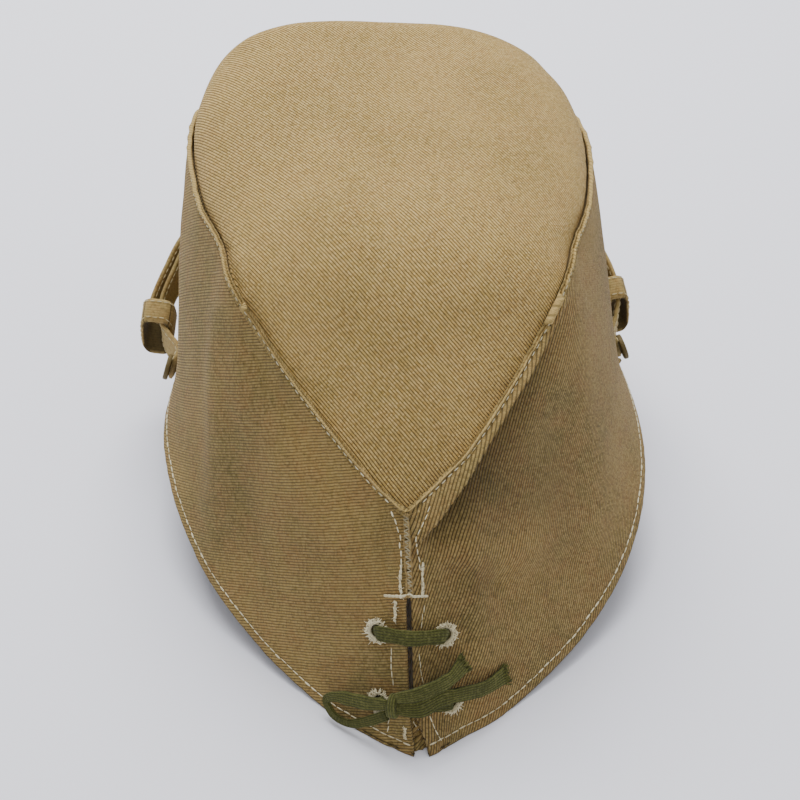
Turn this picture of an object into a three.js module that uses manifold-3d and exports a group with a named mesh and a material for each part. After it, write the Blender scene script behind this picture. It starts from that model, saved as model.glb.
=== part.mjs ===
// Cotton drill field cap, rear laced, lying on its peak and rear hem.
// Millimetres. While it is shaped, the rear tip of the hem is the origin, +Y runs to the peak,
// +X to the wearer's right, +Z up. The last lines move the origin under the middle of the cap.
import * as THREE from 'three';
import Module from 'manifold-3d';
import { mergeVertices } from 'three/addons/utils/BufferGeometryUtils.js';

const wasm = await Module();
wasm.setup();

// Driving dimensions
const clothWall = 1.6;
const lapGap = 0.35;
const seamLap = 1.6;
const seamTuck = 6;
const pieceGap = 0.3;
const crownStart = 0.008;
const sideEnd = 0.985;
const clothFace = lapGap + clothWall;
const holeRadius = 2.8;
const eyelet = { inner: 2.95, outer: 4.7, height: 0.9, seat: 0.6 };
const lace = { width: 4.8, narrow: 3.4, frayed: 5.8, thick: 1.4 };
const strap = { width: 12, thick: 1.7, stand: 0.85, steps: 40 };
const keeper = { length: 9, wall: 1.3, over: 1.2, corner: 4.4, inner: 3, curveSteps: 3 };
const button = { radius: 4.8, height: 1.8 };
const peak = {
  reach: 54, thick: 2.4, flange: 5, lean: 0.58, step: 3, stepDrop: 0.4, start: 0.66, least: 5.5,
  drop: 0.9, dip: 1, endRise: 2.4, hollow: 0.42, steps: 36,
};
const holeCutter = { length: 14, sides: 12 };
const bandRing = { sides: 8, roundness: 0.6 };
// The strap leans out from the upright line through the middle of the cap, at this y
const capMiddleY = 120;

const drill = { color: 0x8f7c50, roughness: 0.95, metalness: 0 };
const crownDrill = { color: 0xa89268, roughness: 0.95, metalness: 0 };
const laceGreen = { color: 0x54552a, roughness: 0.9, metalness: 0 };
const threadWhite = { color: 0xc9c0a0, roughness: 0.9, metalness: 0 };
const strapTan = { color: 0xa08d5c, roughness: 0.8, metalness: 0 };

// Stations run from the rear point of the crown panel over the top and down to the front hem.
// y, z, lean: the crown's centre line. half: seam to seam is twice this. seamY, seamZ: the seam.
// edge, bow: shape of the crown between the seams, where edge = bow gives round shoulders and
// bow = 1 a shallow arch. hemX, hemY, hemZ, hemLean: the hem under that station. out: degrees that
// the side leaves the seam outwards. flare: degrees that the side turns out again at the hem.
const stations = [
  { y: 40, z: 66, lean: -0.8, half: 0.6, seamY: 40, seamZ: 66, edge: 2, bow: 1,
    hemX: 0.6, hemY: 0.3, hemZ: -1, hemLean: 1.5, out: 2, flare: 2 },
  { y: 46, z: 73.3, lean: -0.8, half: 10, seamY: 46.6, seamZ: 72.8, edge: 2, bow: 1,
    hemX: 15, hemY: 8.6, hemZ: -1, hemLean: 3, out: 4, flare: 3 },
  { y: 54, z: 83, lean: -0.4, half: 20.8, seamY: 55.6, seamZ: 81.7, edge: 2, bow: 1,
    hemX: 29.5, hemY: 19.5, hemZ: -0.6, hemLean: 3.3, out: 6, flare: 4 },
  { y: 70, z: 101, lean: -1.8, half: 37.4, seamY: 74.6, seamZ: 97.2, edge: 2, bow: 1.1,
    hemX: 50.8, hemY: 40, hemZ: 4.5, hemLean: 3, out: 7, flare: 6 },
  { y: 86, z: 119, lean: -2.8, half: 50, seamY: 93.4, seamZ: 110.9, edge: 2.1, bow: 1.3,
    hemX: 66.2, hemY: 60, hemZ: 11.5, hemLean: 2.5, out: 7, flare: 9 },
  { y: 105, z: 129.5, lean: -3.2, half: 55, seamY: 111.5, seamZ: 115, edge: 2.3, bow: 1.6,
    hemX: 76.4, hemY: 80, hemZ: 19, hemLean: 1.3, out: 6, flare: 13 },
  { y: 130, z: 134.7, lean: -4.4, half: 62.4, seamY: 134, seamZ: 115.5, edge: 2.5, bow: 2,
    hemX: 82, hemY: 100, hemZ: 24.5, hemLean: 0, out: 3, flare: 17 },
  { y: 161, z: 139.5, lean: -6, half: 66.6, seamY: 163.4, seamZ: 118, edge: 2.7, bow: 2.4,
    hemX: 84, hemY: 122, hemZ: 27.5, hemLean: -1.5, out: 1, flare: 18 },
  { y: 188, z: 143.8, lean: -7.6, half: 65, seamY: 188, seamZ: 117, edge: 3, bow: 2.8,
    hemX: 81.5, hemY: 148, hemZ: 29, hemLean: -2, out: 0, flare: 14 },
  { y: 209, z: 143.8, lean: -8, half: 62, seamY: 199, seamZ: 108, edge: 3, bow: 2.8,
    hemX: 75, hemY: 168, hemZ: 30, hemLean: -1.6, out: 0, flare: 9 },
  { y: 221, z: 124, lean: -6.5, half: 60, seamY: 200, seamZ: 93, edge: 2.5, bow: 1.6,
    hemX: 69.5, hemY: 178, hemZ: 30, hemLean: -1.2, out: 0, flare: 5 },
  { y: 223, z: 98, lean: -4.5, half: 59, seamY: 198, seamZ: 75, edge: 2.2, bow: 1.2,
    hemX: 65, hemY: 184, hemZ: 30, hemLean: -1, out: 0, flare: 3 },
  { y: 220, z: 64, lean: -2.5, half: 58, seamY: 195, seamZ: 53, edge: 2.1, bow: 1,
    hemX: 61.5, hemY: 188, hemZ: 30, hemLean: -1, out: 0, flare: 1 },
  { y: 214, z: 30, lean: -1, half: 58, seamY: 192.2, seamZ: 33.5, edge: 2.1, bow: 1,
    hemX: 58, hemY: 191.9, hemZ: 30, hemLean: -1, out: 0, flare: 0 },
];
const stationCount = stations.length - 1;

// Dents and folds: s along the stations from 0 to 1, m across (0 centre line, 1 seam, 2 hem,
// left negative), with their half sizes and how far they stand out, in millimetres.
const folds = [
  { s: 0.25, m: -1.45, sizeS: 0.03, sizeM: 0.5, lift: -1.3 },
  { s: 0.33, m: -1.5, sizeS: 0.03, sizeM: 0.5, lift: 1 },
  { s: 0.12, m: 1.35, sizeS: 0.025, sizeM: 0.5, lift: 1.4 },
  { s: 0.27, m: 1.5, sizeS: 0.06, sizeM: 0.3, lift: -2.8 },
  { s: 0.58, m: -1.5, sizeS: 0.14, sizeM: 0.35, lift: 3.2 },
  { s: 0.58, m: 1.5, sizeS: 0.12, sizeM: 0.3, lift: 1.4 },
  { s: 0.66, m: -0.4, sizeS: 0.06, sizeM: 0.3, lift: 1.2 },
  { s: 0.66, m: 0.6, sizeS: 0.06, sizeM: 0.45, lift: -2.6 },
];

// The two lower corners at the slit, which spread apart over the last part of the side
const corners = [
  { side: -1, spread: -1.2, from: 0.8, sizeS: 0.03 },
  { side: 1, spread: 5, from: 0.75, sizeS: 0.045 },
];

// Smooth value of a column at s, through the four nearest stations
function column(name, s) {
  const t = s * stationCount;
  const k = THREE.MathUtils.clamp(Math.floor(t), 0, stationCount - 1);
  const f = t - k;
  const at = (i) => stations[THREE.MathUtils.clamp(i, 0, stationCount)][name];
  const p0 = k > 0 ? at(k - 1) : 2 * at(0) - at(1);
  const p3 = k < stationCount - 1 ? at(k + 2) : 2 * at(stationCount) - at(stationCount - 1);
  const p1 = at(k);
  const p2 = at(k + 1);
  const a = 0.5 * (p2 - p0);
  const b = p0 - 2.5 * p1 + 2 * p2 - 0.5 * p3;
  const c = 0.5 * (p3 - p0) + 1.5 * (p1 - p2);
  return p1 + f * (a + f * (b + f * c));
}

// Crown at station s; across 0 is the centre line, 1 the seam, side -1 left and 1 right
function crownPoint(s, across, side) {
  const x = Math.sin(across * Math.PI / 2);
  const fall = 1 - (1 - x ** column('edge', s)) ** (1 / column('bow', s));
  return new THREE.Vector3(
    column('lean', s) + side * column('half', s) * x,
    THREE.MathUtils.lerp(column('y', s), column('seamY', s), fall),
    THREE.MathUtils.lerp(column('z', s), column('seamZ', s), fall),
  );
}

// Side at station s; down 0 is the seam, 1 the hem
function sidePoint(s, down, side) {
  const top = crownPoint(s, 1, side);
  const hem = new THREE.Vector3(
    column('hemLean', s) + side * column('hemX', s),
    column('hemY', s),
    column('hemZ', s),
  );
  const chord = hem.clone().sub(top);
  const reach = chord.length() / 3;
  const ahead = new THREE.Vector3(side * column('hemX', s + 0.02), column('hemY', s + 0.02), 0);
  const behind = new THREE.Vector3(side * column('hemX', s - 0.02), column('hemY', s - 0.02), 0);
  const along = ahead.sub(behind).normalize();
  const outward = chord.clone().normalize().cross(along).multiplyScalar(side).normalize();
  const turn = (degrees) => {
    const angle = THREE.MathUtils.degToRad(degrees);
    const direction = chord.clone().normalize().multiplyScalar(Math.cos(angle));
    return direction.addScaledVector(outward, Math.sin(angle));
  };
  const first = top.clone().addScaledVector(turn(column('out', s)), reach);
  const last = hem.clone().addScaledVector(turn(column('flare', s)), -reach);
  return new THREE.CubicBezierCurve3(top, first, last, hem).getPoint(down);
}

// The cap's smooth skin: m from -2 (left hem) through -1 (left seam), 0 and 1 to 2 (right hem)
function skinPoint(s, m) {
  const side = m < 0 ? -1 : 1;
  const across = Math.abs(m);
  return across <= 1 ? crownPoint(s, across, side) : sidePoint(s, across - 1, side);
}

const insideLow = new THREE.Vector3(-2, 60, 45);
const insideHigh = new THREE.Vector3(-2, 185, 60);
function skinNormal(s, m) {
  const stepS = 0.006;
  const stepM = 0.03;
  const ds = skinPoint(s + stepS, m).sub(skinPoint(s - stepS, m));
  const dm = skinPoint(s, Math.min(m + stepM, 2)).sub(skinPoint(s, Math.max(m - stepM, -2)));
  const normal = ds.cross(dm).normalize();
  const here = skinPoint(s, m);
  const inside = new THREE.Line3(insideLow, insideHigh).closestPointToPoint(here, true, new THREE.Vector3());
  return normal.dot(here.sub(inside)) < 0 ? normal.negate() : normal;
}

// Skin with its folds, moved out by lift
function foldedPoint(s, m, lift) {
  let rise = lift;
  for (const fold of folds) {
    const a = (s - fold.s) / fold.sizeS;
    const b = (m - fold.m) / fold.sizeM;
    rise += fold.lift * Math.exp(-a * a - b * b);
  }
  return skinPoint(s, m).addScaledVector(skinNormal(s, m), rise);
}

// The same with the corners at the slit spread, and never below the surface that the cap lies on
function clothPoint(s, m, lift) {
  const point = foldedPoint(s, m, lift);
  for (const corner of corners) {
    const share = THREE.MathUtils.smoothstep(corner.side * m - 1, corner.from, 1);
    point.x += corner.side * corner.spread * share * Math.exp(-((s / corner.sizeS) ** 2));
  }
  point.z = Math.max(point.z, 0);
  return point;
}

// Lengths across the skin at a station, used to lay laps and tucks in millimetres
function crossLength(s, from, to) {
  const steps = 12;
  let length = 0;
  for (let i = 0; i < steps; i += 1) {
    const a = skinPoint(s, from + (to - from) * i / steps);
    const b = skinPoint(s, from + (to - from) * (i + 1) / steps);
    length += a.distanceTo(b);
  }
  return length;
}

// A closed wall between two grids of the same size, outer above inner
function wallGeometry(outer, inner) {
  const rows = outer.length;
  const columns = outer[0].length;
  const positions = [];
  for (const grid of [outer, inner]) {
    for (const row of grid) {
      for (const p of row) positions.push(p.x, p.y, p.z);
    }
  }
  const id = (layer, i, j) => (layer * rows + i) * columns + j;
  const faces = [];
  const quad = (a, b, c, d) => faces.push(a, b, c, a, c, d);
  for (let i = 0; i < rows - 1; i += 1) {
    for (let j = 0; j < columns - 1; j += 1) {
      quad(id(0, i, j), id(0, i + 1, j), id(0, i + 1, j + 1), id(0, i, j + 1));
      quad(id(1, i, j), id(1, i, j + 1), id(1, i + 1, j + 1), id(1, i + 1, j));
    }
    quad(id(0, i, 0), id(1, i, 0), id(1, i + 1, 0), id(0, i + 1, 0));
    const e = columns - 1;
    quad(id(0, i, e), id(0, i + 1, e), id(1, i + 1, e), id(1, i, e));
  }
  for (let j = 0; j < columns - 1; j += 1) {
    quad(id(0, 0, j), id(0, 0, j + 1), id(1, 0, j + 1), id(1, 0, j));
    const e = rows - 1;
    quad(id(0, e, j), id(1, e, j), id(1, e, j + 1), id(0, e, j + 1));
  }
  return solidGeometry(positions, faces);
}

// Positions and faces as a geometry whose faces point outwards
function solidGeometry(positions, faces) {
  let volume = 0;
  const p = (i) => new THREE.Vector3(positions[3 * i], positions[3 * i + 1], positions[3 * i + 2]);
  for (let f = 0; f < faces.length; f += 3) {
    volume += p(faces[f]).dot(p(faces[f + 1]).cross(p(faces[f + 2])));
  }
  if (volume < 0) {
    for (let f = 0; f < faces.length; f += 3) {
      const keep = faces[f + 1];
      faces[f + 1] = faces[f + 2];
      faces[f + 2] = keep;
    }
  }
  const geometry = new THREE.BufferGeometry();
  geometry.setAttribute('position', new THREE.Float32BufferAttribute(positions, 3));
  geometry.setIndex(faces);
  return geometry;
}

// Closed rings of equal size, joined one after the other, with flat ends
function loftGeometry(rings) {
  const size = rings[0].length;
  const positions = [];
  for (const ring of rings) {
    for (const p of ring) positions.push(p.x, p.y, p.z);
  }
  const faces = [];
  for (let i = 0; i < rings.length - 1; i += 1) {
    for (let j = 0; j < size; j += 1) {
      const a = i * size + j;
      const b = i * size + (j + 1) % size;
      faces.push(a, b, b + size, a, b + size, a + size);
    }
  }
  const last = (rings.length - 1) * size;
  for (let j = 1; j < size - 1; j += 1) {
    faces.push(0, j + 1, j);
    faces.push(last, last + j, last + j + 1);
  }
  return solidGeometry(positions, faces);
}

const cap = new THREE.Group();
function addPiece(name, geometry, finish) {
  const mesh = new THREE.Mesh(geometry, new THREE.MeshStandardMaterial(finish));
  mesh.name = name;
  cap.add(mesh);
  return mesh;
}

// Crown panel: from the rear point over the top and down to the front hem, tucked under the sides
function crownPanel() {
  const lengthSteps = 42;
  const halfSteps = 7;
  const outer = [];
  const inner = [];
  for (let i = 0; i <= lengthSteps; i += 1) {
    const s = crownStart + (1 - crownStart) * i / lengthSteps;
    const tuck = Math.min(seamTuck / crossLength(s, 1, 2), 0.5);
    const across = [-1 - tuck];
    for (let j = -halfSteps; j <= halfSteps; j += 1) across.push(j / halfSteps);
    across.push(1 + tuck);
    outer.push(across.map((m) => clothPoint(s, m, 0)));
    inner.push(across.map((m) => clothPoint(s, m, -clothWall)));
  }
  return wallGeometry(outer, inner);
}

// Side panel: rear slit edge at s = 0, lapped over the crown at the seam
function sidePanel(side) {
  const lengthSteps = 38;
  const downSteps = 9;
  const outer = [];
  const inner = [];
  for (let i = 0; i <= lengthSteps; i += 1) {
    const s = sideEnd * i / lengthSteps;
    const lap = Math.min(seamLap / crossLength(s, 0, 1), 0.4);
    const across = [1 - lap];
    for (let j = 0; j <= downSteps; j += 1) across.push(1 + j / downSteps);
    outer.push(across.map((m) => clothPoint(s, side * m, clothFace)));
    inner.push(across.map((m) => clothPoint(s, side * m, lapGap)));
  }
  return wallGeometry(outer, inner);
}

// Where the cloth, moved out by lift, has the given z and the given x or y, as { s, m }
function findOnSide(side, wanted, lift) {
  let best = { s: 0.5, m: 1.5 };
  let span = 0.5;
  for (let round = 0; round < 14; round += 1) {
    let least = Infinity;
    let next = best;
    for (let i = -4; i <= 4; i += 1) {
      for (let j = -4; j <= 4; j += 1) {
        const s = THREE.MathUtils.clamp(best.s + span * i / 4, 0, 1);
        const m = THREE.MathUtils.clamp(best.m + span * j / 4, 1, 2);
        const point = foldedPoint(s, side * m, lift);
        let miss = 0;
        if (wanted.x !== undefined) miss += (point.x - wanted.x) ** 2;
        if (wanted.y !== undefined) miss += (point.y - wanted.y) ** 2;
        miss += (point.z - wanted.z) ** 2;
        if (miss < least) {
          least = miss;
          next = { s, m };
        }
      }
    }
    best = next;
    span *= 0.55;
  }
  return { s: best.s, m: side * best.m };
}

// A point at lift on the cloth's normal where its face has x and z, as { point, up }
function onRear(x, z, lift) {
  const { s, m } = findOnSide(x < 0 ? -1 : 1, { x, z }, clothFace);
  return { point: foldedPoint(s, m, lift), up: skinNormal(s, m) };
}

// A point at x and z itself, lift away from the cloth, as { point, up }
function overRear(x, z, lift) {
  const { s, m } = findOnSide(x < 0 ? -1 : 1, { x, z }, lift);
  return { point: foldedPoint(s, m, lift).setX(x), up: skinNormal(s, m) };
}

// A flat band with rounded edges through rows of { point, up, width }
function bandGeometry(rows, thick, steps) {
  const path = new THREE.CatmullRomCurve3(rows.map((row) => row.point), false, 'centripetal');
  const rings = [];
  for (let i = 0; i <= steps; i += 1) {
    const t = i / steps;
    const k = Math.min(Math.floor(t * (rows.length - 1)), rows.length - 2);
    const f = t * (rows.length - 1) - k;
    const tangent = path.getTangent(t);
    const hint = rows[k].up.clone().lerp(rows[k + 1].up, f);
    const across = new THREE.Vector3().crossVectors(tangent, hint).normalize();
    const up = new THREE.Vector3().crossVectors(across, tangent).normalize();
    const width = THREE.MathUtils.lerp(rows[k].width, rows[k + 1].width, f);
    const center = path.getPoint(t);
    const ring = [];
    for (let c = 0; c < bandRing.sides; c += 1) {
      const angle = (c + 0.5) / bandRing.sides * 2 * Math.PI;
      const x = Math.sign(Math.cos(angle)) * Math.abs(Math.cos(angle)) ** bandRing.roundness * width / 2;
      const y = Math.sign(Math.sin(angle)) * Math.abs(Math.sin(angle)) ** bandRing.roundness * thick / 2;
      ring.push(center.clone().addScaledVector(across, x).addScaledVector(up, y));
    }
    rings.push(ring);
  }
  return loftGeometry(rings);
}

// Peak: a stiff crescent under the front hem, with a flange sewn up inside it
function peakGeometry() {
  const hemPoints = [];
  const sideSteps = 10;
  const frontSteps = 10;
  for (let i = 0; i < sideSteps; i += 1) {
    hemPoints.push(skinPoint(THREE.MathUtils.lerp(peak.start, 1, i / sideSteps), -2));
  }
  for (let i = -frontSteps; i <= frontSteps; i += 1) hemPoints.push(skinPoint(1, i / frontSteps));
  for (let i = sideSteps - 1; i >= 0; i -= 1) {
    hemPoints.push(skinPoint(THREE.MathUtils.lerp(peak.start, 1, i / sideSteps), 2));
  }
  for (const point of hemPoints) point.z = Math.min(point.z, column('hemZ', 1));
  const hem = new THREE.CatmullRomCurve3(hemPoints, false, 'centripetal');
  const endEdgeZ = column('hemZ', 1) - peak.drop - peak.thick;
  const rings = [];
  for (let i = 0; i <= peak.steps; i += 1) {
    const here = hem.getPointAt(i / peak.steps);
    const tangent = hem.getTangentAt(i / peak.steps);
    const outward = new THREE.Vector3(-tangent.y, tangent.x, 0).normalize();
    const a = 2 * i / peak.steps - 1;
    const reach = peak.least + (peak.reach - peak.least) * Math.cos(a * Math.PI / 2) ** 2;
    const edgeZ = Math.max(0, endEdgeZ * Math.abs(a) ** peak.endRise - peak.dip);
    const rootZ = here.z - peak.drop;
    const at = (out, z) => here.clone().addScaledVector(outward, out).setZ(z);
    const faceOut = -clothWall - pieceGap;
    const middle = THREE.MathUtils.lerp(peak.step, reach, 0.5);
    const middleZ = THREE.MathUtils.lerp(rootZ, edgeZ + peak.thick, peak.hollow);
    rings.push([
      at(faceOut, rootZ),
      at(peak.step, rootZ - peak.stepDrop),
      at(middle, middleZ),
      at(reach, edgeZ + peak.thick),
      at(reach, edgeZ),
      at(middle, middleZ - peak.thick),
      at(peak.step - 1, Math.max(rootZ - peak.stepDrop - peak.thick, edgeZ)),
      at(faceOut - peak.thick, Math.max(rootZ - peak.thick, edgeZ)),
      at(faceOut - peak.lean * peak.flange - peak.thick, here.z + peak.flange),
      at(faceOut - peak.lean * peak.flange, here.z + peak.flange),
    ]);
  }
  return loftGeometry(rings);
}

// A geometry as a solid for cutting, and back
function toManifold(geometry) {
  const bare = new THREE.BufferGeometry();
  bare.setAttribute('position', geometry.attributes.position);
  bare.setIndex(geometry.index);
  const merged = mergeVertices(bare, 1e-5);
  return new wasm.Manifold(new wasm.Mesh({
    numProp: 3,
    vertProperties: new Float32Array(merged.attributes.position.array),
    triVerts: new Uint32Array(merged.index.array),
  }));
}

function fromManifold(solid) {
  const mesh = solid.getMesh();
  const geometry = new THREE.BufferGeometry();
  geometry.setAttribute('position', new THREE.BufferAttribute(new Float32Array(mesh.vertProperties), 3));
  geometry.setIndex(new THREE.BufferAttribute(new Uint32Array(mesh.triVerts), 1));
  return geometry;
}

// Turns a geometry's +Z to a direction and moves it to a point
function stand(geometry, point, direction) {
  const turn = new THREE.Quaternion().setFromUnitVectors(new THREE.Vector3(0, 0, 1), direction);
  geometry.applyQuaternion(turn);
  geometry.translate(point.x, point.y, point.z);
  return geometry;
}

// Lacing eyelets, by x and height on the rear of the cap
const eyelets = [
  { name: 'eyelet_upper_left', side: -1, x: -9.6, z: 32.3 },
  { name: 'eyelet_upper_right', side: 1, x: 11.4, z: 31.4 },
  { name: 'eyelet_lower_left', side: -1, x: -8.8, z: 11.9 },
  { name: 'eyelet_lower_right', side: 1, x: 13.2, z: 11.7 },
];

function eyeletRing() {
  const { inner, outer, height } = eyelet;
  const profile = [
    new THREE.Vector2(inner, 0),
    new THREE.Vector2(outer, 0),
    new THREE.Vector2(outer, 0.5 * height),
    new THREE.Vector2(0.5 * (inner + outer), height),
    new THREE.Vector2(inner, 0.6 * height),
    new THREE.Vector2(inner, 0),
  ];
  const ring = new THREE.LatheGeometry(profile, 16);
  return ring.rotateX(Math.PI / 2);
}

function withHoles(panel, side) {
  let solid = toManifold(panel);
  for (const { x, z } of eyelets.filter((row) => row.side === side)) {
    const { point, up } = onRear(x, z, 0);
    const cutter = new THREE.CylinderGeometry(holeRadius, holeRadius, holeCutter.length, holeCutter.sides);
    cutter.rotateX(Math.PI / 2);
    solid = solid.subtract(toManifold(stand(cutter, point, up)));
  }
  return fromManifold(solid);
}

// The lace: out of the knot, in at a lower eyelet, up inside, across and down the other side.
// Rows with lift below laceFree follow the cloth's normal, as in an eyelet; the others give the
// lace's own x and z.
const laceFree = 2.5;
const laceRoute = [
  { x: -7.4, z: 15.4, lift: 4.8, width: lace.narrow },
  { x: -9.4, z: 13.6, lift: 4.5, width: lace.narrow },
  { x: -8.8, z: 11.9, lift: 2.4, width: lace.narrow },
  { x: -8.8, z: 12.1, lift: -0.4, width: lace.narrow },
  { x: -9, z: 15, lift: -2, width: lace.narrow },
  { x: -9.3, z: 22, lift: -2, width: lace.width },
  { x: -9.5, z: 29, lift: -2, width: lace.narrow },
  { x: -9.6, z: 32.1, lift: -0.4, width: lace.narrow },
  { x: -9.6, z: 32.3, lift: 2.4, width: lace.narrow },
  { x: -9.4, z: 33.6, lift: 4.4, width: lace.narrow },
  { x: -5.5, z: 33.8, lift: 4.4, width: lace.width },
  { x: 0.8, z: 33.4, lift: 4.2, width: lace.width },
  { x: 7, z: 33.3, lift: 4.4, width: lace.width },
  { x: 11.4, z: 32.8, lift: 4.4, width: lace.narrow },
  { x: 11.4, z: 31.4, lift: 2.4, width: lace.narrow },
  { x: 11.4, z: 31.2, lift: -0.4, width: lace.narrow },
  { x: 11.5, z: 28.4, lift: -2, width: lace.narrow },
  { x: 12.2, z: 22, lift: -2, width: lace.width },
  { x: 13.1, z: 15, lift: -2, width: lace.narrow },
  { x: 13.2, z: 11.9, lift: -0.4, width: lace.narrow },
  { x: 13.2, z: 11.7, lift: 2.4, width: lace.narrow },
  { x: 12.9, z: 13.2, lift: 4.4, width: lace.narrow },
  { x: 8, z: 14.6, lift: 4.2, width: lace.width },
  { x: 1.4, z: 16, lift: 4.4, width: lace.narrow },
];
const knot = { x: -4.4, z: 16.6, lift: 6.2, radius: 2.7, flat: 0.72 };
const bowLoop = [
  { x: -7.9, z: 17.4, lift: 7.8, width: lace.narrow },
  { x: -13, z: 15.4, lift: 7.4, width: lace.width },
  { x: -19, z: 12.8, lift: 6.6, width: lace.width },
  { x: -24, z: 9.4, lift: 5.6, width: lace.width },
  { x: -25.8, z: 6.2, lift: 5, width: lace.narrow },
  { x: -23.4, z: 3.8, lift: 4.8, width: lace.width },
  { x: -18.5, z: 4.2, lift: 4.8, width: lace.width },
  { x: -13, z: 7.4, lift: 4.9, width: lace.width },
  { x: -8, z: 11.8, lift: 5.4, width: lace.narrow },
];
const tailUpper = [
  { x: -1.2, z: 18.4, lift: 8.9, width: lace.narrow },
  { x: 4, z: 19.2, lift: 9, width: lace.width },
  { x: 9.4, z: 20.4, lift: 8.6, width: lace.width },
  { x: 14, z: 21.6, lift: 7.2, width: lace.width },
  { x: 18, z: 22.4, lift: 5.2, width: lace.frayed },
];
const tailLower = [
  { x: -1, z: 15.4, lift: 6.9, width: lace.narrow },
  { x: 4.5, z: 16.6, lift: 6.8, width: lace.width },
  { x: 10, z: 16.8, lift: 6.6, width: lace.width },
  { x: 16.5, z: 15.6, lift: 6.1, width: lace.width },
  { x: 24, z: 13.6, lift: 4.5, width: lace.width },
  { x: 30, z: 12.6, lift: 3.2, width: lace.frayed },
];

function laceBand(rows, stepsPerRow) {
  const seated = rows.map(({ x, z, lift, width }) => {
    const seat = lift < laceFree ? onRear(x, z, lift) : overRear(x, z, lift);
    return { ...seat, width };
  });
  return bandGeometry(seated, lace.thick, stepsPerRow * (rows.length - 1));
}

// Chin strap routes, centre line, from the buttons round the front. Rows with a side lie
// against the cloth at their y and z. roll: degrees that the upper edge leans outwards.
const strapInner = [
  { side: -1, y: 145.5, z: 37 },
  { side: -1, y: 151.5, z: 37.8 },
  { x: -89.2, y: 158.5, z: 39.6, roll: -4 },
  { x: -91, y: 163.5, z: 42, roll: 0 },
  { x: -90, y: 170.5, z: 48.4, roll: 0 },
  { x: -85.8, y: 178, z: 55, roll: 0 },
  { x: -80, y: 189, z: 62, roll: 0 },
  { x: -69, y: 204, z: 67, roll: 0 },
  { x: -50, y: 219, z: 71, roll: 0 },
  { x: -26, y: 228, z: 73, roll: 0 },
  { x: 0, y: 231, z: 73, roll: 0 },
  { x: 26, y: 227.5, z: 72, roll: 0 },
  { x: 49, y: 217, z: 69, roll: 0 },
  { x: 64, y: 202, z: 63.5, roll: 0 },
  { x: 67.6, y: 190.5, z: 59.2, roll: 0 },
  { x: 71.8, y: 181.5, z: 54.6, roll: 0 },
  { x: 74.6, y: 175, z: 49.4, roll: 0 },
  { x: 75.3, y: 171.5, z: 46.4, roll: 0 },
];
const strapOuter = [
  { side: 1, y: 156, z: 38 },
  { side: 1, y: 161, z: 39.4 },
  { x: 78.6, y: 168, z: 43.4, roll: -4 },
  { x: 78.2, y: 175, z: 49.4, roll: 0 },
  { x: 75.2, y: 182, z: 54.8, roll: 0 },
  { x: 71, y: 191, z: 59.6, roll: 0 },
  { x: 66.6, y: 203.8, z: 63.7, roll: 0 },
  { x: 50.4, y: 219.6, z: 69.2, roll: 0 },
  { x: 26.8, y: 230.3, z: 72.2, roll: 0 },
  { x: 0, y: 233.9, z: 73.2, roll: 0 },
  { x: -27, y: 230.8, z: 73.2, roll: 0 },
  { x: -51.6, y: 221.4, z: 71.2, roll: 0 },
  { x: -71.2, y: 205.8, z: 67.2, roll: 0 },
  { x: -82.7, y: 190.2, z: 62.2, roll: 0 },
  { x: -88.8, y: 178.8, z: 55.4, roll: 0 },
  { x: -93.2, y: 170.8, z: 48.6, roll: 0 },
  { x: -94.6, y: 165.4, z: 43.8, roll: 0 },
];
const keeperPlaces = [
  { name: 'strap_keeper_left', inner: 3.5, outer: 15.6, room: 2.2 },
  { name: 'strap_keeper_right', inner: 16, outer: 3, room: 1.8 },
];

const strapRise = clothFace + strap.stand + strap.thick / 2;

function strapPoints(route) {
  return route.map(({ side, x, y, z }) => {
    if (side === undefined) return new THREE.Vector3(x, y, z);
    const { s, m } = findOnSide(side, { y, z }, strapRise);
    return foldedPoint(s, m, strapRise);
  });
}

function strapRows(route) {
  const points = strapPoints(route);
  const path = new THREE.CatmullRomCurve3(points, false, 'centripetal');
  return route.map((row, i) => {
    const point = points[i];
    if (row.side !== undefined) {
      const { s, m } = findOnSide(row.side, { y: row.y, z: row.z }, strapRise);
      return { point, up: skinNormal(s, m).multiplyScalar(row.side), width: strap.width };
    }
    const tangent = path.getTangent(i / (route.length - 1));
    const away = new THREE.Vector3(point.x, point.y - capMiddleY, 0).normalize();
    const roll = THREE.MathUtils.degToRad(row.roll);
    const upper = new THREE.Vector3(0, 0, Math.cos(roll)).addScaledVector(away, Math.sin(roll));
    const up = new THREE.Vector3().crossVectors(tangent, upper).normalize();
    return { point, up, width: strap.width };
  });
}

function strapCenter(route, place) {
  const path = new THREE.CatmullRomCurve3(strapPoints(route), false, 'centripetal');
  const t = place / (route.length - 1);
  return { point: path.getPoint(t), tangent: path.getTangent(t) };
}

function roundedRectangle(width, height, radius) {
  const shape = new THREE.Shape();
  const x = width / 2;
  const y = height / 2;
  shape.moveTo(x, y - radius);
  shape.absarc(x - radius, y - radius, radius, 0, Math.PI / 2, false);
  shape.absarc(-x + radius, y - radius, radius, Math.PI / 2, Math.PI, false);
  shape.absarc(-x + radius, -y + radius, radius, Math.PI, 1.5 * Math.PI, false);
  shape.absarc(x - radius, -y + radius, radius, 1.5 * Math.PI, 2 * Math.PI, false);
  return shape;
}

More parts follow.
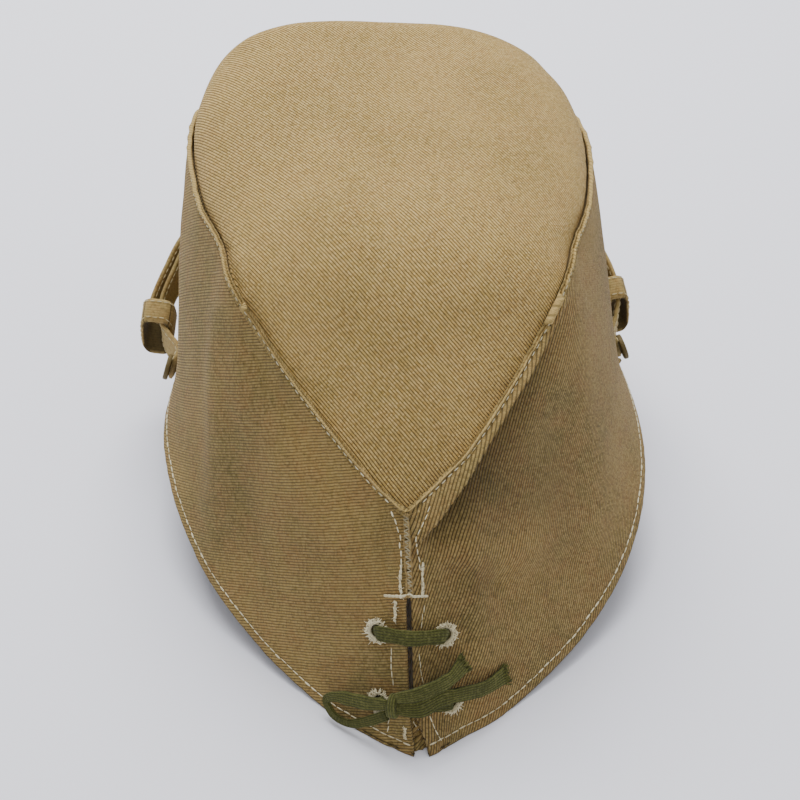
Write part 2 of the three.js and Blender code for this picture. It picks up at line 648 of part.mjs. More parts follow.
// A keeper: a short sleeve round both straps
function keeperGeometry(place) {
  const a = strapCenter(strapInner, place.inner);
  const b = strapCenter(strapOuter, place.outer);
  const center = a.point.clone().lerp(b.point, 0.5);
  const apart = a.point.distanceTo(b.point);
  const thickRoom = apart + strap.thick + 2 * place.room;
  const widthRoom = strap.width + 2 * keeper.over;
  const outline = roundedRectangle(thickRoom + 2 * keeper.wall, widthRoom + 2 * keeper.wall, keeper.corner);
  outline.holes.push(roundedRectangle(thickRoom, widthRoom, keeper.inner));
  const sleeve = new THREE.ExtrudeGeometry(outline, {
    depth: keeper.length,
    bevelEnabled: false,
    curveSegments: keeper.curveSteps,
  });
  sleeve.translate(0, 0, -keeper.length / 2);
  const sameWay = Math.sign(a.tangent.dot(b.tangent));
  const along = a.tangent.clone().addScaledVector(b.tangent, sameWay).normalize();
  const out = b.point.clone().sub(a.point);
  out.addScaledVector(along, -out.dot(along)).normalize();
  const upper = new THREE.Vector3().crossVectors(along, out).normalize();
  sleeve.applyMatrix4(new THREE.Matrix4().makeBasis(out, upper, along));
  sleeve.translate(center.x, center.y, center.z);
  return sleeve;
}

// A strap button: a plain disc over the strap's sewn end
function buttonGeometry(row) {
  const disc = new THREE.CylinderGeometry(button.radius, button.radius, button.height, 16);
  disc.rotateX(Math.PI / 2);
  const out = row.up.x * row.point.x < 0 ? row.up.clone().negate() : row.up.clone();
  const rise = strap.thick / 2 + pieceGap + button.height / 2;
  return stand(disc, row.point.clone().addScaledVector(out, rise), out);
}

addPiece('crown_panel', crownPanel(), crownDrill);
addPiece('side_panel_left', withHoles(sidePanel(-1), -1), drill);
addPiece('side_panel_right', withHoles(sidePanel(1), 1), drill);
addPiece('peak', peakGeometry(), drill);
for (const { name, x, z } of eyelets) {
  const { point, up } = onRear(x, z, clothFace + eyelet.seat);
  addPiece(name, stand(eyeletRing(), point, up), threadWhite);
}
addPiece('lace_cord', laceBand(laceRoute, 2), laceGreen);
const knotBall = new THREE.SphereGeometry(knot.radius, 12, 8);
knotBall.scale(1, 1, knot.flat);
const knotSeat = overRear(knot.x, knot.z, knot.lift);
addPiece('lace_knot', stand(knotBall, knotSeat.point, knotSeat.up), laceGreen);
addPiece('lace_loop', laceBand(bowLoop, 3), laceGreen);
addPiece('lace_tail_upper', laceBand(tailUpper, 3), laceGreen);
addPiece('lace_tail_lower', laceBand(tailLower, 3), laceGreen);
const innerRows = strapRows(strapInner);
const outerRows = strapRows(strapOuter);
addPiece('chin_strap_inner', bandGeometry(innerRows, strap.thick, strap.steps), strapTan);
addPiece('chin_strap_outer', bandGeometry(outerRows, strap.thick, strap.steps), strapTan);
for (const place of keeperPlaces) addPiece(place.name, keeperGeometry(place), strapTan);
addPiece('strap_button_left', buttonGeometry(innerRows[0]), strapTan);
addPiece('strap_button_right', buttonGeometry(outerRows[0]), strapTan);

// The origin goes under the middle of the cap
const box = new THREE.Box3().setFromObject(cap);
for (const mesh of cap.children) {
  mesh.geometry.translate(-(box.min.x + box.max.x) / 2, -(box.min.y + box.max.y) / 2, -box.min.z);
}

export default cap;
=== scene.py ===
# Cotton drill field cap with a laced slit at the rear, lying on its hem and its peak
import functools
import math
import random

import bmesh
import bpy
from mathutils import Matrix, Vector, noise


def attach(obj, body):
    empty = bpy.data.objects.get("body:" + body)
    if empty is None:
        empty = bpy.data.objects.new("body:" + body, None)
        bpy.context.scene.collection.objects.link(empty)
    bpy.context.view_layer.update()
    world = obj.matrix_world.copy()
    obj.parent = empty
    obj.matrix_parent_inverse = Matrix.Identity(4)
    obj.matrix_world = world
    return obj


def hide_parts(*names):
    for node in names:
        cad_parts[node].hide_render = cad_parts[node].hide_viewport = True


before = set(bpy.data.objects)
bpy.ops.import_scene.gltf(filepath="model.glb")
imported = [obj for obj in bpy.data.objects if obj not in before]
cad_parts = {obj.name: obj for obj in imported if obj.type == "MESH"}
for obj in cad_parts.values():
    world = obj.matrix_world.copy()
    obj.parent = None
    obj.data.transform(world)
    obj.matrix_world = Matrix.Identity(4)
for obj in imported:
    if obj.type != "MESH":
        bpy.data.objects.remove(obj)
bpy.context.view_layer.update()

random.seed(11)
mm = 0.001

# The cap is shaped in millimetres from the rear end of its hem: +y to the peak, +x to the
# wearer's right. rearTip is where that point lies in the frame.
rearTip = Vector((0.007428, -0.133403, 0.0))


def toFrame(point):
    return point * mm + rearTip


# Camera
view = {"at": Vector((-2.5, -295.4, 391.7)), "down": 40.0, "lens": 69.3}
cameraData = bpy.data.cameras.new("camera")
cameraData.lens = view["lens"]
cameraData.sensor_width = 36.0
cameraData.clip_start = 0.01
camera = bpy.data.objects.new("camera", cameraData)
camera.location = toFrame(view["at"])
camera.rotation_euler = (math.radians(90 - view["down"]), 0, 0)
bpy.context.scene.collection.objects.link(camera)
bpy.context.scene.camera = camera
print("camera set")

# Shape of the cap, from the rear point of the crown over the top to the front hem.
# y z lean: centre line. half, seamY, seamZ: the seam. edge, bow: the crown between the seams.
# hemX to hemLean: the hem. out, flare: degrees that a side leaves the seam and turns at the hem.
columnNames = ("y", "z", "lean", "half", "seamY", "seamZ", "edge", "bow",
               "hemX", "hemY", "hemZ", "hemLean", "out", "flare")
stations = (
    (40, 66, -0.8, 0.6, 40, 66, 2, 1, 0.6, 0.3, -1, 1.5, 2, 2),
    (46, 73.3, -0.8, 10, 46.6, 72.8, 2, 1, 15, 8.6, -1, 3, 4, 3),
    (54, 83, -0.4, 20.8, 55.6, 81.7, 2, 1, 29.5, 19.5, -0.6, 3.3, 6, 4),
    (70, 101, -1.8, 37.4, 74.6, 97.2, 2, 1.1, 50.8, 40, 4.5, 3, 7, 6),
    (86, 119, -2.8, 50, 93.4, 110.9, 2.1, 1.3, 66.2, 60, 11.5, 2.5, 7, 9),
    (105, 129.5, -3.2, 55, 111.5, 115, 2.3, 1.6, 76.4, 80, 19, 1.3, 6, 13),
    (130, 134.7, -4.4, 62.4, 134, 115.5, 2.5, 2, 82, 100, 24.5, 0, 3, 17),
    (161, 139.5, -6, 66.6, 163.4, 118, 2.7, 2.4, 84, 122, 27.5, -1.5, 1, 18),
    (188, 143.8, -7.6, 65, 188, 117, 3, 2.8, 81.5, 148, 29, -2, 0, 14),
    (209, 143.8, -8, 62, 199, 108, 3, 2.8, 75, 168, 30, -1.6, 0, 9),
    (221, 124, -6.5, 60, 200, 93, 2.5, 1.6, 69.5, 178, 30, -1.2, 0, 5),
    (223, 98, -4.5, 59, 198, 75, 2.2, 1.2, 65, 184, 30, -1, 0, 3),
    (220, 64, -2.5, 58, 195, 53, 2.1, 1, 61.5, 188, 30, -1, 0, 1),
    (214, 30, -1, 58, 192.2, 33.5, 2.1, 1, 58, 191.9, 30, -1, 0, 0),
)
lastStation = len(stations) - 1
cloth = {"wall": 1.6, "lapGap": 0.35, "seamLap": 1.6, "seamTuck": 6.0, "sideEnd": 0.985, "crownStart": 0.008}
clothFace = cloth["lapGap"] + cloth["wall"]

# Broad dents: s, m, half sizes in s and m, lift in millimetres. m is 0 on the centre line, 1 at
# the seam and 2 at the hem, and negative on the left.
folds = (
    (0.25, -1.45, 0.03, 0.5, -1.3),
    (0.33, -1.5, 0.03, 0.5, 1.0),
    (0.12, 1.35, 0.025, 0.5, 1.4),
    (0.27, 1.5, 0.06, 0.3, -2.8),
    (0.58, -1.5, 0.14, 0.35, 3.2),
    (0.58, 1.5, 0.12, 0.3, 1.4),
    (0.66, -0.4, 0.06, 0.3, 1.2),
    (0.66, 0.6, 0.06, 0.45, -2.6),
)
corners = ((-1, -1.2, 0.8, 0.03), (1, 4.0, 0.78, 0.045))     # side, spread, from, size in s


@functools.lru_cache(maxsize=None)
def column(name, s):
    index = columnNames.index(name)
    k = min(max(int(math.floor(s * lastStation)), 0), lastStation - 1)
    f = s * lastStation - k
    p1, p2 = stations[k][index], stations[k + 1][index]
    p0 = stations[k - 1][index] if k > 0 else 2 * p1 - p2
    p3 = stations[k + 2][index] if k < lastStation - 1 else 2 * p2 - p1
    a = 0.5 * (p2 - p0)
    b = p0 - 2.5 * p1 + 2 * p2 - 0.5 * p3
    c = 0.5 * (p3 - p0) + 1.5 * (p1 - p2)
    return p1 + f * (a + f * (b + f * c))


def mixed(a, b, share):
    return a + (b - a) * share


def smooth(value, low, high):
    t = min(max((value - low) / (high - low), 0.0), 1.0)
    return t * t * (3 - 2 * t)


def bump(value, centre, size):
    return math.exp(-((value - centre) / size) ** 2)


def crownPoint(s, across, side):
    x = math.sin(across * math.pi / 2)
    fall = 1 - max(0.0, 1 - x ** column("edge", s)) ** (1 / column("bow", s))
    return Vector((column("lean", s) + side * column("half", s) * x,
                   mixed(column("y", s), column("seamY", s), fall),
                   mixed(column("z", s), column("seamZ", s), fall)))


@functools.lru_cache(maxsize=None)
def sideCurve(s, side):
    top = crownPoint(s, 1, side)
    hem = Vector((column("hemLean", s) + side * column("hemX", s), column("hemY", s), column("hemZ", s)))
    chord = hem - top
    reach = chord.length / 3
    chord.normalize()
    along = Vector((side * (column("hemX", s + 0.02) - column("hemX", s - 0.02)),
                    column("hemY", s + 0.02) - column("hemY", s - 0.02), 0)).normalized()
    outward = (chord.cross(along) * side).normalized()
    out, flare = math.radians(column("out", s)), math.radians(column("flare", s))
    first = top + (chord * math.cos(out) + outward * math.sin(out)) * reach
    last = hem - (chord * math.cos(flare) + outward * math.sin(flare)) * reach
    return top, first, last, hem


def sidePoint(s, down, side):
    top, first, last, hem = sideCurve(s, side)
    up = 1 - down
    return top * up ** 3 + first * (3 * up * up * down) + last * (3 * up * down * down) + hem * down ** 3


def skinPoint(s, m):
    side = -1 if m < 0 else 1
    across = abs(m)
    return crownPoint(s, across, side) if across <= 1 else sidePoint(s, across - 1, side)


def skinNormal(s, m):
    ds = skinPoint(s + 0.006, m) - skinPoint(s - 0.006, m)
    dm = skinPoint(s, min(m + 0.03, 2.0)) - skinPoint(s, max(m - 0.03, -2.0))
    normal = ds.cross(dm).normalized()
    here = skinPoint(s, m)
    inside = Vector((-2, min(max(here.y, 60), 185), 50))
    return -normal if normal.dot(here - inside) < 0 else normal


def foldRise(s, m):
    return sum(lift * math.exp(-((s - fs) / ss) ** 2 - ((m - fm) / sm) ** 2)
               for fs, fm, ss, sm, lift in folds)


def foldedPoint(s, m, lift):
    return skinPoint(s, m) + skinNormal(s, m) * (lift + foldRise(s, m))


def clothPoint(s, m, lift):
    point = foldedPoint(s, m, lift)
    for side, spread, start, size in corners:
        point.x += side * spread * smooth(side * m - 1, start, 1) * bump(s, 0, size)
    point.z = max(point.z, 0.0)
    return point


@functools.lru_cache(maxsize=None)
def sideWidth(s, side):
    points = [skinPoint(s, side * (1 + i / 12)) for i in range(13)]
    return sum((b - a).length for a, b in zip(points, points[1:]))


crownSteps = 24


@functools.lru_cache(maxsize=None)
def crownLengths(s):
    # lengths from the centre line out to the seam, at even steps of m
    points = [skinPoint(s, i / crownSteps) for i in range(crownSteps + 1)]
    lengths = [0.0]
    for a, b in zip(points, points[1:]):
        lengths.append(lengths[-1] + (b - a).length)
    return lengths


def crownHalf(s):
    return crownLengths(s)[-1]


def valueAt(table, place):
    # value in an even table, for a place counted in its steps
    k = min(max(int(place), 0), len(table) - 2)
    return mixed(table[k], table[k + 1], place - k)


def findOnSide(side, wanted, lift):
    # Newton's steps to the cloth's place with the given z and the given x or y
    axis = 0 if "x" in wanted else 1
    goal = (wanted["x"] if axis == 0 else wanted["y"], wanted["z"])
    s, down = (0.1, 0.6) if axis == 0 else (0.55, 0.8)
    step = 0.004
    for _ in range(14):
        here = foldedPoint(s, side * (1 + down), lift)
        ds = (foldedPoint(s + step, side * (1 + down), lift) - here) / step
        dm = (foldedPoint(s, side * (1 + down - step), lift) - here) / -step
        miss = (goal[0] - here[axis], goal[1] - here.z)
        scale = ds[axis] * dm.z - dm[axis] * ds.z
        s += min(max((miss[0] * dm.z - dm[axis] * miss[1]) / scale, -0.06), 0.06)
        down += min(max((ds[axis] * miss[1] - miss[0] * ds.z) / scale, -0.25), 0.25)
        s, down = min(max(s, 0.0), 1.0), min(max(down, 0.0), 1.0)
    return s, side * (1 + down)


def onRear(x, z, lift):
    s, m = findOnSide(-1 if x < 0 else 1, {"x": x, "z": z}, clothFace)
    return foldedPoint(s, m, lift), skinNormal(s, m)


def overRear(x, z, lift):
    s, m = findOnSide(-1 if x < 0 else 1, {"x": x, "z": z}, lift)
    point = foldedPoint(s, m, lift)
    point.x = x
    return point, skinNormal(s, m)


# Creases drawn on the cloth: from (s, m) to (s, m), width and lift in millimetres
creases = (
    ((0.27, -1.09), (0.12, -1.13), 4.5, -0.9),
    ((0.29, -1.27), (0.14, -1.36), 7.0, 0.7),
    ((0.32, -1.18), (0.27, -1.60), 6.0, -1.1),
    ((0.36, -1.20), (0.33, -1.85), 7.0, 0.7),
    ((0.20, -1.62), (0.14, -1.50), 8.0, -0.5),
    ((0.19, 1.24), (0.25, 1.30), 11.0, -1.6),
    ((0.05, 1.24), (0.2, 1.56), 5.0, 1.0),
    ((0.19, 1.48), (0.30, 1.76), 6.0, 0.9),
    ((0.085, 1.36), (0.15, 1.52), 4.5, -1.3),
    ((0.17, 1.60), (0.24, 1.74), 6.0, -0.8),
    ((0.06, 1.46), (0.09, 1.62), 4.5, -0.8),
    ((0.09, 1.70), (0.20, 1.86), 6.0, 0.5),
    ((0.36, 1.50), (0.42, 1.80), 9.0, -0.7),
    ((0.30, 0.02), (0.62, 0.05), 7.0, -0.5),
    ((0.37, -0.97), (0.31, -0.94), 2.8, -0.9),
    ((0.38, -0.86), (0.30, -0.82), 5.0, 0.7),
    ((0.14, 0.45), (0.20, 0.85), 6.0, -0.6),
    ((0.12, -0.30), (0.20, -0.85), 6.0, -0.5),
)
creaseLines = [(skinPoint(*a), skinPoint(*b), width, lift) for a, b, width, lift in creases]


def creaseRise(point):
    total = 0.0
    for a, b, width, lift in creaseLines:
        line = b - a
        share = min(max((point - a).dot(line) / line.length_squared, 0.0), 1.0)
        away = (point - a - line * share).length
        if away < 3 * width:
            total += lift * math.exp(-(away / width) ** 2)
    return total


def softRise(point):
    slow = noise.noise(point / 30 + Vector((3.1, 0.7, 9.2)))
    quick = noise.noise(point / 10 + Vector((8.3, 4.4, 1.9)))
    return 0.45 * slow + 0.16 * quick


# Lapped edge, hem and slit edge of a side: a rounded fold, a groove where it is stitched, a pucker
seam = {"stitchAt": 2.4, "fold": 1.0, "foldSize": 1.1, "ridge": 0.5, "ridgeSize": 0.8, "groove": 0.25,
        "grooveSize": 0.6, "pucker": 0.3, "puckerReach": 4.0, "worn": 1.4}
# hem shade: strength of the painted contact shadow along the hem's lower edge
hem = {"stitchAt": 3.9, "groove": 0.3, "grooveSize": 0.6, "roll": 0.5, "rollSize": 1.0, "pucker": 0.22,
       "puckerReach": 3.0, "shade": 1.5}
slit = {"stitchAt": 5.2, "groove": 0.3, "grooveSize": 0.9, "closedAt": 0.36}
slitShift = {-1: (0.35, 0.8), 1: (-0.1, -0.3)}     # of each side's edge, where open and where sewn
# Pressed fold beside the right seam: its width at the slit and further on, and the hollow past it; shade and
# pale: painted shade in the hollow and a painted highlight on the fold
pressed = {"wide": 12.5, "narrow": 5.4, "from": 0.03, "to": 0.2, "end": 0.33, "lift": 2.1, "edge": 0.35,
           "hollow": 2.6, "hollowWidth": 12.0, "shade": 0.85, "shadeWidth": 12.0, "pale": 0.4}


def pressedEdge(s):
    return mixed(pressed["wide"], pressed["narrow"], smooth(s, pressed["from"], pressed["to"]))


def pressedShade(s, d):
    # painted shade in the hollow past the fold, and a painted highlight as a paler band on the fold
    past = d - pressedEdge(s)
    wide = pressed["shadeWidth"] * mixed(0.3, 1.0, smooth(s, 0.03, 0.13))
    fade = smooth(s, 0.02, 0.05) * (1 - smooth(s, pressed["to"], pressed["end"]))
    hollow = pressed["shade"] * smooth(past, -0.5, 0.6) * math.exp(-(max(0.0, past) / wide) ** 2)
    return fade * (hollow - pressed["pale"] * (1 - smooth(past, -0.8, 0.0)))


def pressedRise(s, d):
    edge = pressedEdge(s)
    fade = smooth(s, 0.0, 0.02) * (1 - smooth(s, pressed["to"], pressed["end"]))
    flap = pressed["lift"] * (0.45 + 0.55 * smooth(d, 2, edge))
    flap *= 1 - smooth(d, edge - pressed["edge"], edge + pressed["edge"])
    beyond = max(0.0, d - edge) / pressed["hollowWidth"]
    hollow = pressed["hollow"] * smooth(d, edge - 0.3, edge + 1.2) * math.exp(-beyond * beyond)
    return fade * smooth(d, 2, 4) * (flap - hollow * smooth(s, 0.02, 0.06))


def sideSurface(side, s, d, extra=0.0):
    # d: millimetres down from the lapped edge
    width = sideWidth(s, side)
    past = d - cloth["seamLap"]
    m = side * (1 + past / (width if past > 0 else max(crownHalf(s), 2.5 * cloth["seamLap"])))
    toHem = width + cloth["seamLap"] - d
    base = skinPoint(s, m)
    pucker = noise.noise(base / 3.2 + Vector((5, 5, 5)))
    rise = clothFace + extra
    rise -= seam["fold"] * (1 - math.sqrt(max(0.0, 1 - max(0.0, 1 - d / seam["foldSize"]) ** 2)))
    rise += seam["ridge"] * bump(d, seam["foldSize"], seam["ridgeSize"]) * (1 + 0.5 * pucker)
    rise -= seam["groove"] * bump(d, seam["stitchAt"], seam["grooveSize"])
    rise += seam["pucker"] * pucker * math.exp(-d / seam["puckerReach"])
    rise -= hem["groove"] * bump(toHem, hem["stitchAt"], hem["grooveSize"])
    rise -= hem["roll"] * max(0.0, 1 - toHem / hem["rollSize"]) ** 2
    rise += hem["pucker"] * pucker * math.exp(-toHem / hem["puckerReach"])
    toSlit = abs(base.x - skinPoint(0, m).x)
    rise -= slit["groove"] * bump(toSlit, slit["stitchAt"], slit["grooveSize"]) * smooth(s, 0, 0.004)
    calm = smooth(toHem, 0, 12) * smooth(d, 0, 8) * smooth(toSlit, 0, 8)
    rise += calm * (creaseRise(base) + softRise(base))
    if side > 0:
        rise += pressedRise(s, d)
    point = clothPoint(s, m, rise)
    if s < 0.03:
        closed = 1 - smooth(abs(m) - 1, slit["closedAt"] - 0.02, slit["closedAt"] + 0.02)
        point.x += mixed(*slitShift[side], closed) * (1 - smooth(s, 0, 0.014))
    return point


def crownSurface(s, m):
    base = skinPoint(s, m)
    tucked = smooth(abs(m), 0.93, 1.0)
    pucker = 0.2 * noise.noise(base / 4.5) * bump(abs(m), 0.96, 0.06)
    return clothPoint(s, m, (1 - tucked) * (creaseRise(base) + softRise(base)) + pucker)


print("shape ready")

# Mesh helpers


def finish(name, work, material):
    data = bpy.data.meshes.new(name)
    work.to_mesh(data)
    work.free()
    piece = bpy.data.objects.new(name, data)
    bpy.context.scene.collection.objects.link(piece)
    data.materials.append(material)
    for polygon in data.polygons:
        polygon.use_smooth = True
    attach(piece, "root")
    return piece


def addWall(piece, thickness):
    wall = piece.modifiers.new("wall", "SOLIDIFY")
    wall.thickness = thickness * mm
    wall.offset = -1


def cutHole(work, centre, up, radius):
    # faces over the hole go, and the edge left is drawn onto its circle
    def away(point):
        offset = point - centre
        return offset - up * offset.dot(up)

    inside = [face for face in work.faces
              if (face.calc_center_median() - centre).length < 2 * radius
              and away(face.calc_center_median()).length < radius]
    bmesh.ops.delete(work, geom=inside, context="FACES")
    for vert in work.verts:
        if vert.is_boundary and (vert.co - centre).length < 2 * radius:
            offset = away(vert.co)
            vert.co += offset.normalized() * radius - offset


def clothPiece(name, rows, columns, place, layout, darkeningAt, outwardAt, material, holes):
    # place, layout: from (row, column) to a point and to a place on the cloth laid flat
    work = bmesh.new()
    bmesh.ops.create_grid(work, x_segments=columns, y_segments=rows, size=0.5)
    uvLayer = work.loops.layers.uv.new("cloth")
    patchShadeLayer = work.verts.layers.float.new("patchShadeAndWear")
    flat = {}
    for vert in work.verts:
        j = round((vert.co.x + 0.5) * columns)
        i = round((vert.co.y + 0.5) * rows)
        vert.co = toFrame(place(i, j))
        vert[patchShadeLayer] = darkeningAt(vert.co, i, j)
        flat[vert] = layout(i, j)
    for face in work.faces:
        for loop in face.loops:
            loop[uvLayer].uv = flat[loop.vert]
    for hole in holes:
        cutHole(work, toFrame(hole["place"]), hole["up"], eyeletLook["hole"] * mm)
    work.normal_update()
    work.faces.ensure_lookup_table()
    probe = work.faces[len(work.faces) // 2]
    if probe.normal.dot(outwardAt(probe.calc_center_median())) < 0:
        bmesh.ops.reverse_faces(work, faces=work.faces)
    piece = finish(name, work, material)
    addWall(piece, 1.4)
    return piece


def tube(work, rings, closed=False):
    # rings of equal size joined into a tube, through a grid wrapped round them
    around, along = len(rings[0]), len(rings) - (0 if closed else 1)
    made = bmesh.ops.create_grid(work, x_segments=around, y_segments=along, size=0.5)["verts"]
    for vert in made:
        j = round((vert.co.x + 0.5) * around) % around
        i = round((vert.co.y + 0.5) * along)
        vert.co = rings[i % len(rings)][j]
    bmesh.ops.remove_doubles(work, verts=made, dist=1e-7)
    edges = [e for e in work.edges if e.is_boundary]
    if edges and not closed:
        bmesh.ops.holes_fill(work, edges=edges, sides=0)
    bmesh.ops.recalc_face_normals(work, faces=work.faces)


def path(points, steps):
    # smooth route through the points: (place, way, share of the whole) at each step
    nodes = [2 * points[0] - points[1]] + list(points) + [2 * points[-1] - points[-2]]
    route = []
    for i in range(steps + 1):
        t = i / steps * (len(points) - 1)
        k = min(int(t), len(points) - 2)
        f = t - k
        p0, p1, p2, p3 = nodes[k:k + 4]
        a, b = 0.5 * (p2 - p0), p0 - 2.5 * p1 + 2 * p2 - 0.5 * p3
        c = 0.5 * (p3 - p0) + 1.5 * (p1 - p2)
        place = p1 + f * (a + f * (b + f * c))
        way = (a + 2 * f * b + 3 * f * f * c).normalized()
        route.append((place, way, t))
    return route


def thread(work, start, end, up, radius, arch=1.0):
    # one stitch or strand: a slim bead of thread lying from start to end
    way = end - start
    length = way.length
    way.normalize()
    across = way.cross(up).normalized()
    rise = across.cross(way).normalized()
    turn = Matrix((way, across, rise)).transposed().to_4x4()
    size = Matrix.Diagonal((length / 2, radius, radius * arch, 1))
    middle = Matrix.Translation((start + end) / 2)
    bmesh.ops.create_uvsphere(work, u_segments=6, v_segments=6, radius=1,
                              matrix=middle @ turn @ size @ Matrix.Rotation(math.pi / 2, 4, "Y"))


def stitchRow(work, line, length, gap, radius, wander=0.1, uneven=0.15):
    # line: (place, up) samples in the frame. Stitches follow it by its length
    travelled, ahead = 0.0, 0.0
    start = None
    for (a, upA), (b, _) in zip(line, line[1:]):
        piece = (b - a).length
        while ahead <= travelled + piece and piece > 0:
            place = a.lerp(b, (ahead - travelled) / piece)
            if start is None:
                start = place
                ahead += length
            else:
                side = (b - a).cross(upA).normalized() * random.uniform(-wander, wander) * mm
                thread(work, start + side, place + side, upA, radius * random.uniform(1 - uneven, 1 + uneven))
                start = None
                ahead += gap
        travelled += piece


# Shader groups


def newGroup(name, inputs, outputs):
    group = bpy.data.node_groups.new(name, "ShaderNodeTree")
    for label, kind, default in inputs:
        socket = group.interface.new_socket(label, in_out="INPUT", socket_type="NodeSocket" + kind)
        if default is not None:
            socket.default_value = default
    for label, kind in outputs:
        group.interface.new_socket(label, in_out="OUTPUT", socket_type="NodeSocket" + kind)
    w = Wiring(group)
    w.source = group.nodes.new("NodeGroupInput")
    return group, w


class Wiring:
    # short hand for adding and linking nodes
    def __init__(self, tree):
        self.tree = tree
        self.source = None

    def node(self, kind, **settings):
        made = self.tree.nodes.new("ShaderNode" + kind)
        for key, value in settings.items():
            setattr(made, key, value)
        return made

    def feed(self, socket, value):
        if isinstance(value, bpy.types.NodeSocket):
            self.tree.links.new(value, socket)
        else:
            socket.default_value = value

    def math(self, operation, *values, clamp=False):
        made = self.node("Math", operation=operation, use_clamp=clamp)
        for socket, value in zip(made.inputs, values):
            self.feed(socket, value)
        return made.outputs[0]

    def vector(self, operation, *values):
        made = self.node("VectorMath", operation=operation)
        for socket, value in zip(made.inputs, values):
            self.feed(socket, value)
        return made.outputs["Value" if operation in ("DOT_PRODUCT", "LENGTH", "DISTANCE") else "Vector"]

    def noise(self, where, scale, detail=3.0, roughness=0.6):
        made = self.node("TexNoise")
        self.feed(made.inputs["Vector"], where)
        self.feed(made.inputs["Scale"], scale)
        self.feed(made.inputs["Detail"], detail)
        self.feed(made.inputs["Roughness"], roughness)
        return made.outputs["Fac"]

    def ramp(self, value, low, high, start=0.0, end=1.0):
        made = self.node("MapRange", interpolation_type="SMOOTHSTEP")
        for socket, number in zip(made.inputs, (value, low, high, start, end)):
            self.feed(socket, number)
        return made.outputs[0]

    def mix(self, share, a, b, blend="MIX"):
        made = self.node("Mix", data_type="RGBA", blend_type=blend, clamp_result=True)
        self.feed(made.inputs["Factor"], share)
        self.feed(made.inputs[6], a)
        self.feed(made.inputs[7], b)
        return made.outputs[2]

    def group(self, tree, **values):
        made = self.tree.nodes.new("ShaderNodeGroup")
        made.node_tree = tree
        for label, value in values.items():
            self.feed(made.inputs[label], value)
        return made.outputs

    def result(self, **values):
        sink = self.tree.nodes.new("NodeGroupOutput")
        for label, value in values.items():
            self.tree.links.new(value, sink.inputs[label])


def twillGroup():
    # Slanting ridges of a drill weave: u runs along them and v across, both in metres
    group, w = newGroup("drill weave",
                        (("Cloth", "Vector", None), ("Pitch", "Float", 0.0011), ("Wobble", "Float", 0.05),
                         ("Gap", "Float", 0.32)),
                        (("Ridge", "Float"), ("Float", "Float"), ("Height", "Float")))
    uv = w.node("SeparateXYZ")
    w.feed(uv.inputs[0], w.source.outputs["Cloth"])
    pitch = w.source.outputs["Pitch"]
    drift = w.noise(w.source.outputs["Cloth"], 260.0, 2.0)
    fine = w.noise(w.source.outputs["Cloth"], 1100.0, 1.0)
    drift = w.math("ADD", w.math("MULTIPLY", w.math("SUBTRACT", drift, 0.5), 2.4),
                   w.math("MULTIPLY", w.math("SUBTRACT", fine, 0.5), 0.7))
    lines = w.math("ADD", w.math("DIVIDE", uv.outputs["Y"], pitch),
                   w.math("MULTIPLY", drift, w.source.outputs["Wobble"]))
    row = w.math("FLOOR", lines)
    inRow = w.math("SUBTRACT", w.math("FRACT", lines), 0.5)
    fromMiddle = w.math("MULTIPLY", w.math("ABSOLUTE", inRow), 2.0)
    ridge = w.ramp(fromMiddle, 1.0, w.math("SUBTRACT", 1.0, w.source.outputs["Gap"]))
    steps = w.math("ADD", w.math("DIVIDE", uv.outputs["X"], w.math("MULTIPLY", pitch, 0.62)),
                   w.math("MULTIPLY", row, 0.37))
    cell = w.node("CombineXYZ")
    w.feed(cell.inputs[0], w.math("FLOOR", steps))
    w.feed(cell.inputs[1], row)
    spot = w.node("TexWhiteNoise", noise_dimensions="2D")
    w.feed(spot.inputs["Vector"], cell.outputs[0])
    inStep = w.math("MULTIPLY", w.math("ABSOLUTE", w.math("SUBTRACT", w.math("FRACT", steps), 0.5)), 2.0)
    bead = w.ramp(inStep, 1.0, 0.55)
    height = w.math("MULTIPLY", ridge, w.math("ADD", 0.72, w.math("MULTIPLY", bead, 0.28)))
    w.result(Ridge=ridge, Float=spot.outputs["Value"], Height=height)
    return group


def mottleGroup():
    # Uneven dye and wear: three masks from 0 to 1
    group, w = newGroup("uneven dye",
                        (("Place", "Vector", None), ("Seed", "Float", 0.0)),
                        (("Broad", "Float"), ("Patch", "Float"), ("Fleck", "Float")))
    moved = w.vector("ADD", w.source.outputs["Place"], w.source.outputs["Seed"])
    broad = w.ramp(w.noise(moved, 28.0, 3.0, 0.55), 0.35, 0.66)
    patch = w.ramp(w.noise(moved, 110.0, 4.0, 0.65), 0.36, 0.68)
    fleck = w.ramp(w.noise(moved, 900.0, 2.0, 0.7), 0.35, 0.7)
    w.result(Broad=broad, Patch=patch, Fleck=fleck)
    return group


def twistGroup():
    # Plies of a thread or cord, from noise drawn out along it
    group, w = newGroup("thread fibre",
                        (("Place", "Vector", None), ("Scale", "Float", 1600.0)),
                        (("Fibre", "Float"), ("Height", "Float")))
    fibre = w.noise(w.source.outputs["Place"], w.source.outputs["Scale"], 3.0, 0.7)
    w.result(Fibre=fibre, Height=w.ramp(fibre, 0.3, 0.7))
    return group


drillWeave, unevenDye, threadFibre = twillGroup(), mottleGroup(), twistGroup()


def rgb(red, green, blue):
    # a colour as seen on a screen, from 0 to 255, for a shader
    values = [c / 255 for c in (red, green, blue)]
    return tuple(v / 12.92 if v < 11 / 255 else ((v + 0.055) / 1.055) ** 2.4 for v in values) + (1,)


def newMaterial(name, roughness, sheen=0.0):
    material = bpy.data.materials.new(name)
    material.use_nodes = True
    shader = material.node_tree.nodes["Principled BSDF"]
    shader.inputs["Roughness"].default_value = roughness
    shader.inputs["Specular IOR Level"].default_value = 0.2
    shader.inputs["Sheen Weight"].default_value = sheen
    shader.inputs["Sheen Roughness"].default_value = 0.6
    return material, Wiring(material.node_tree), shader


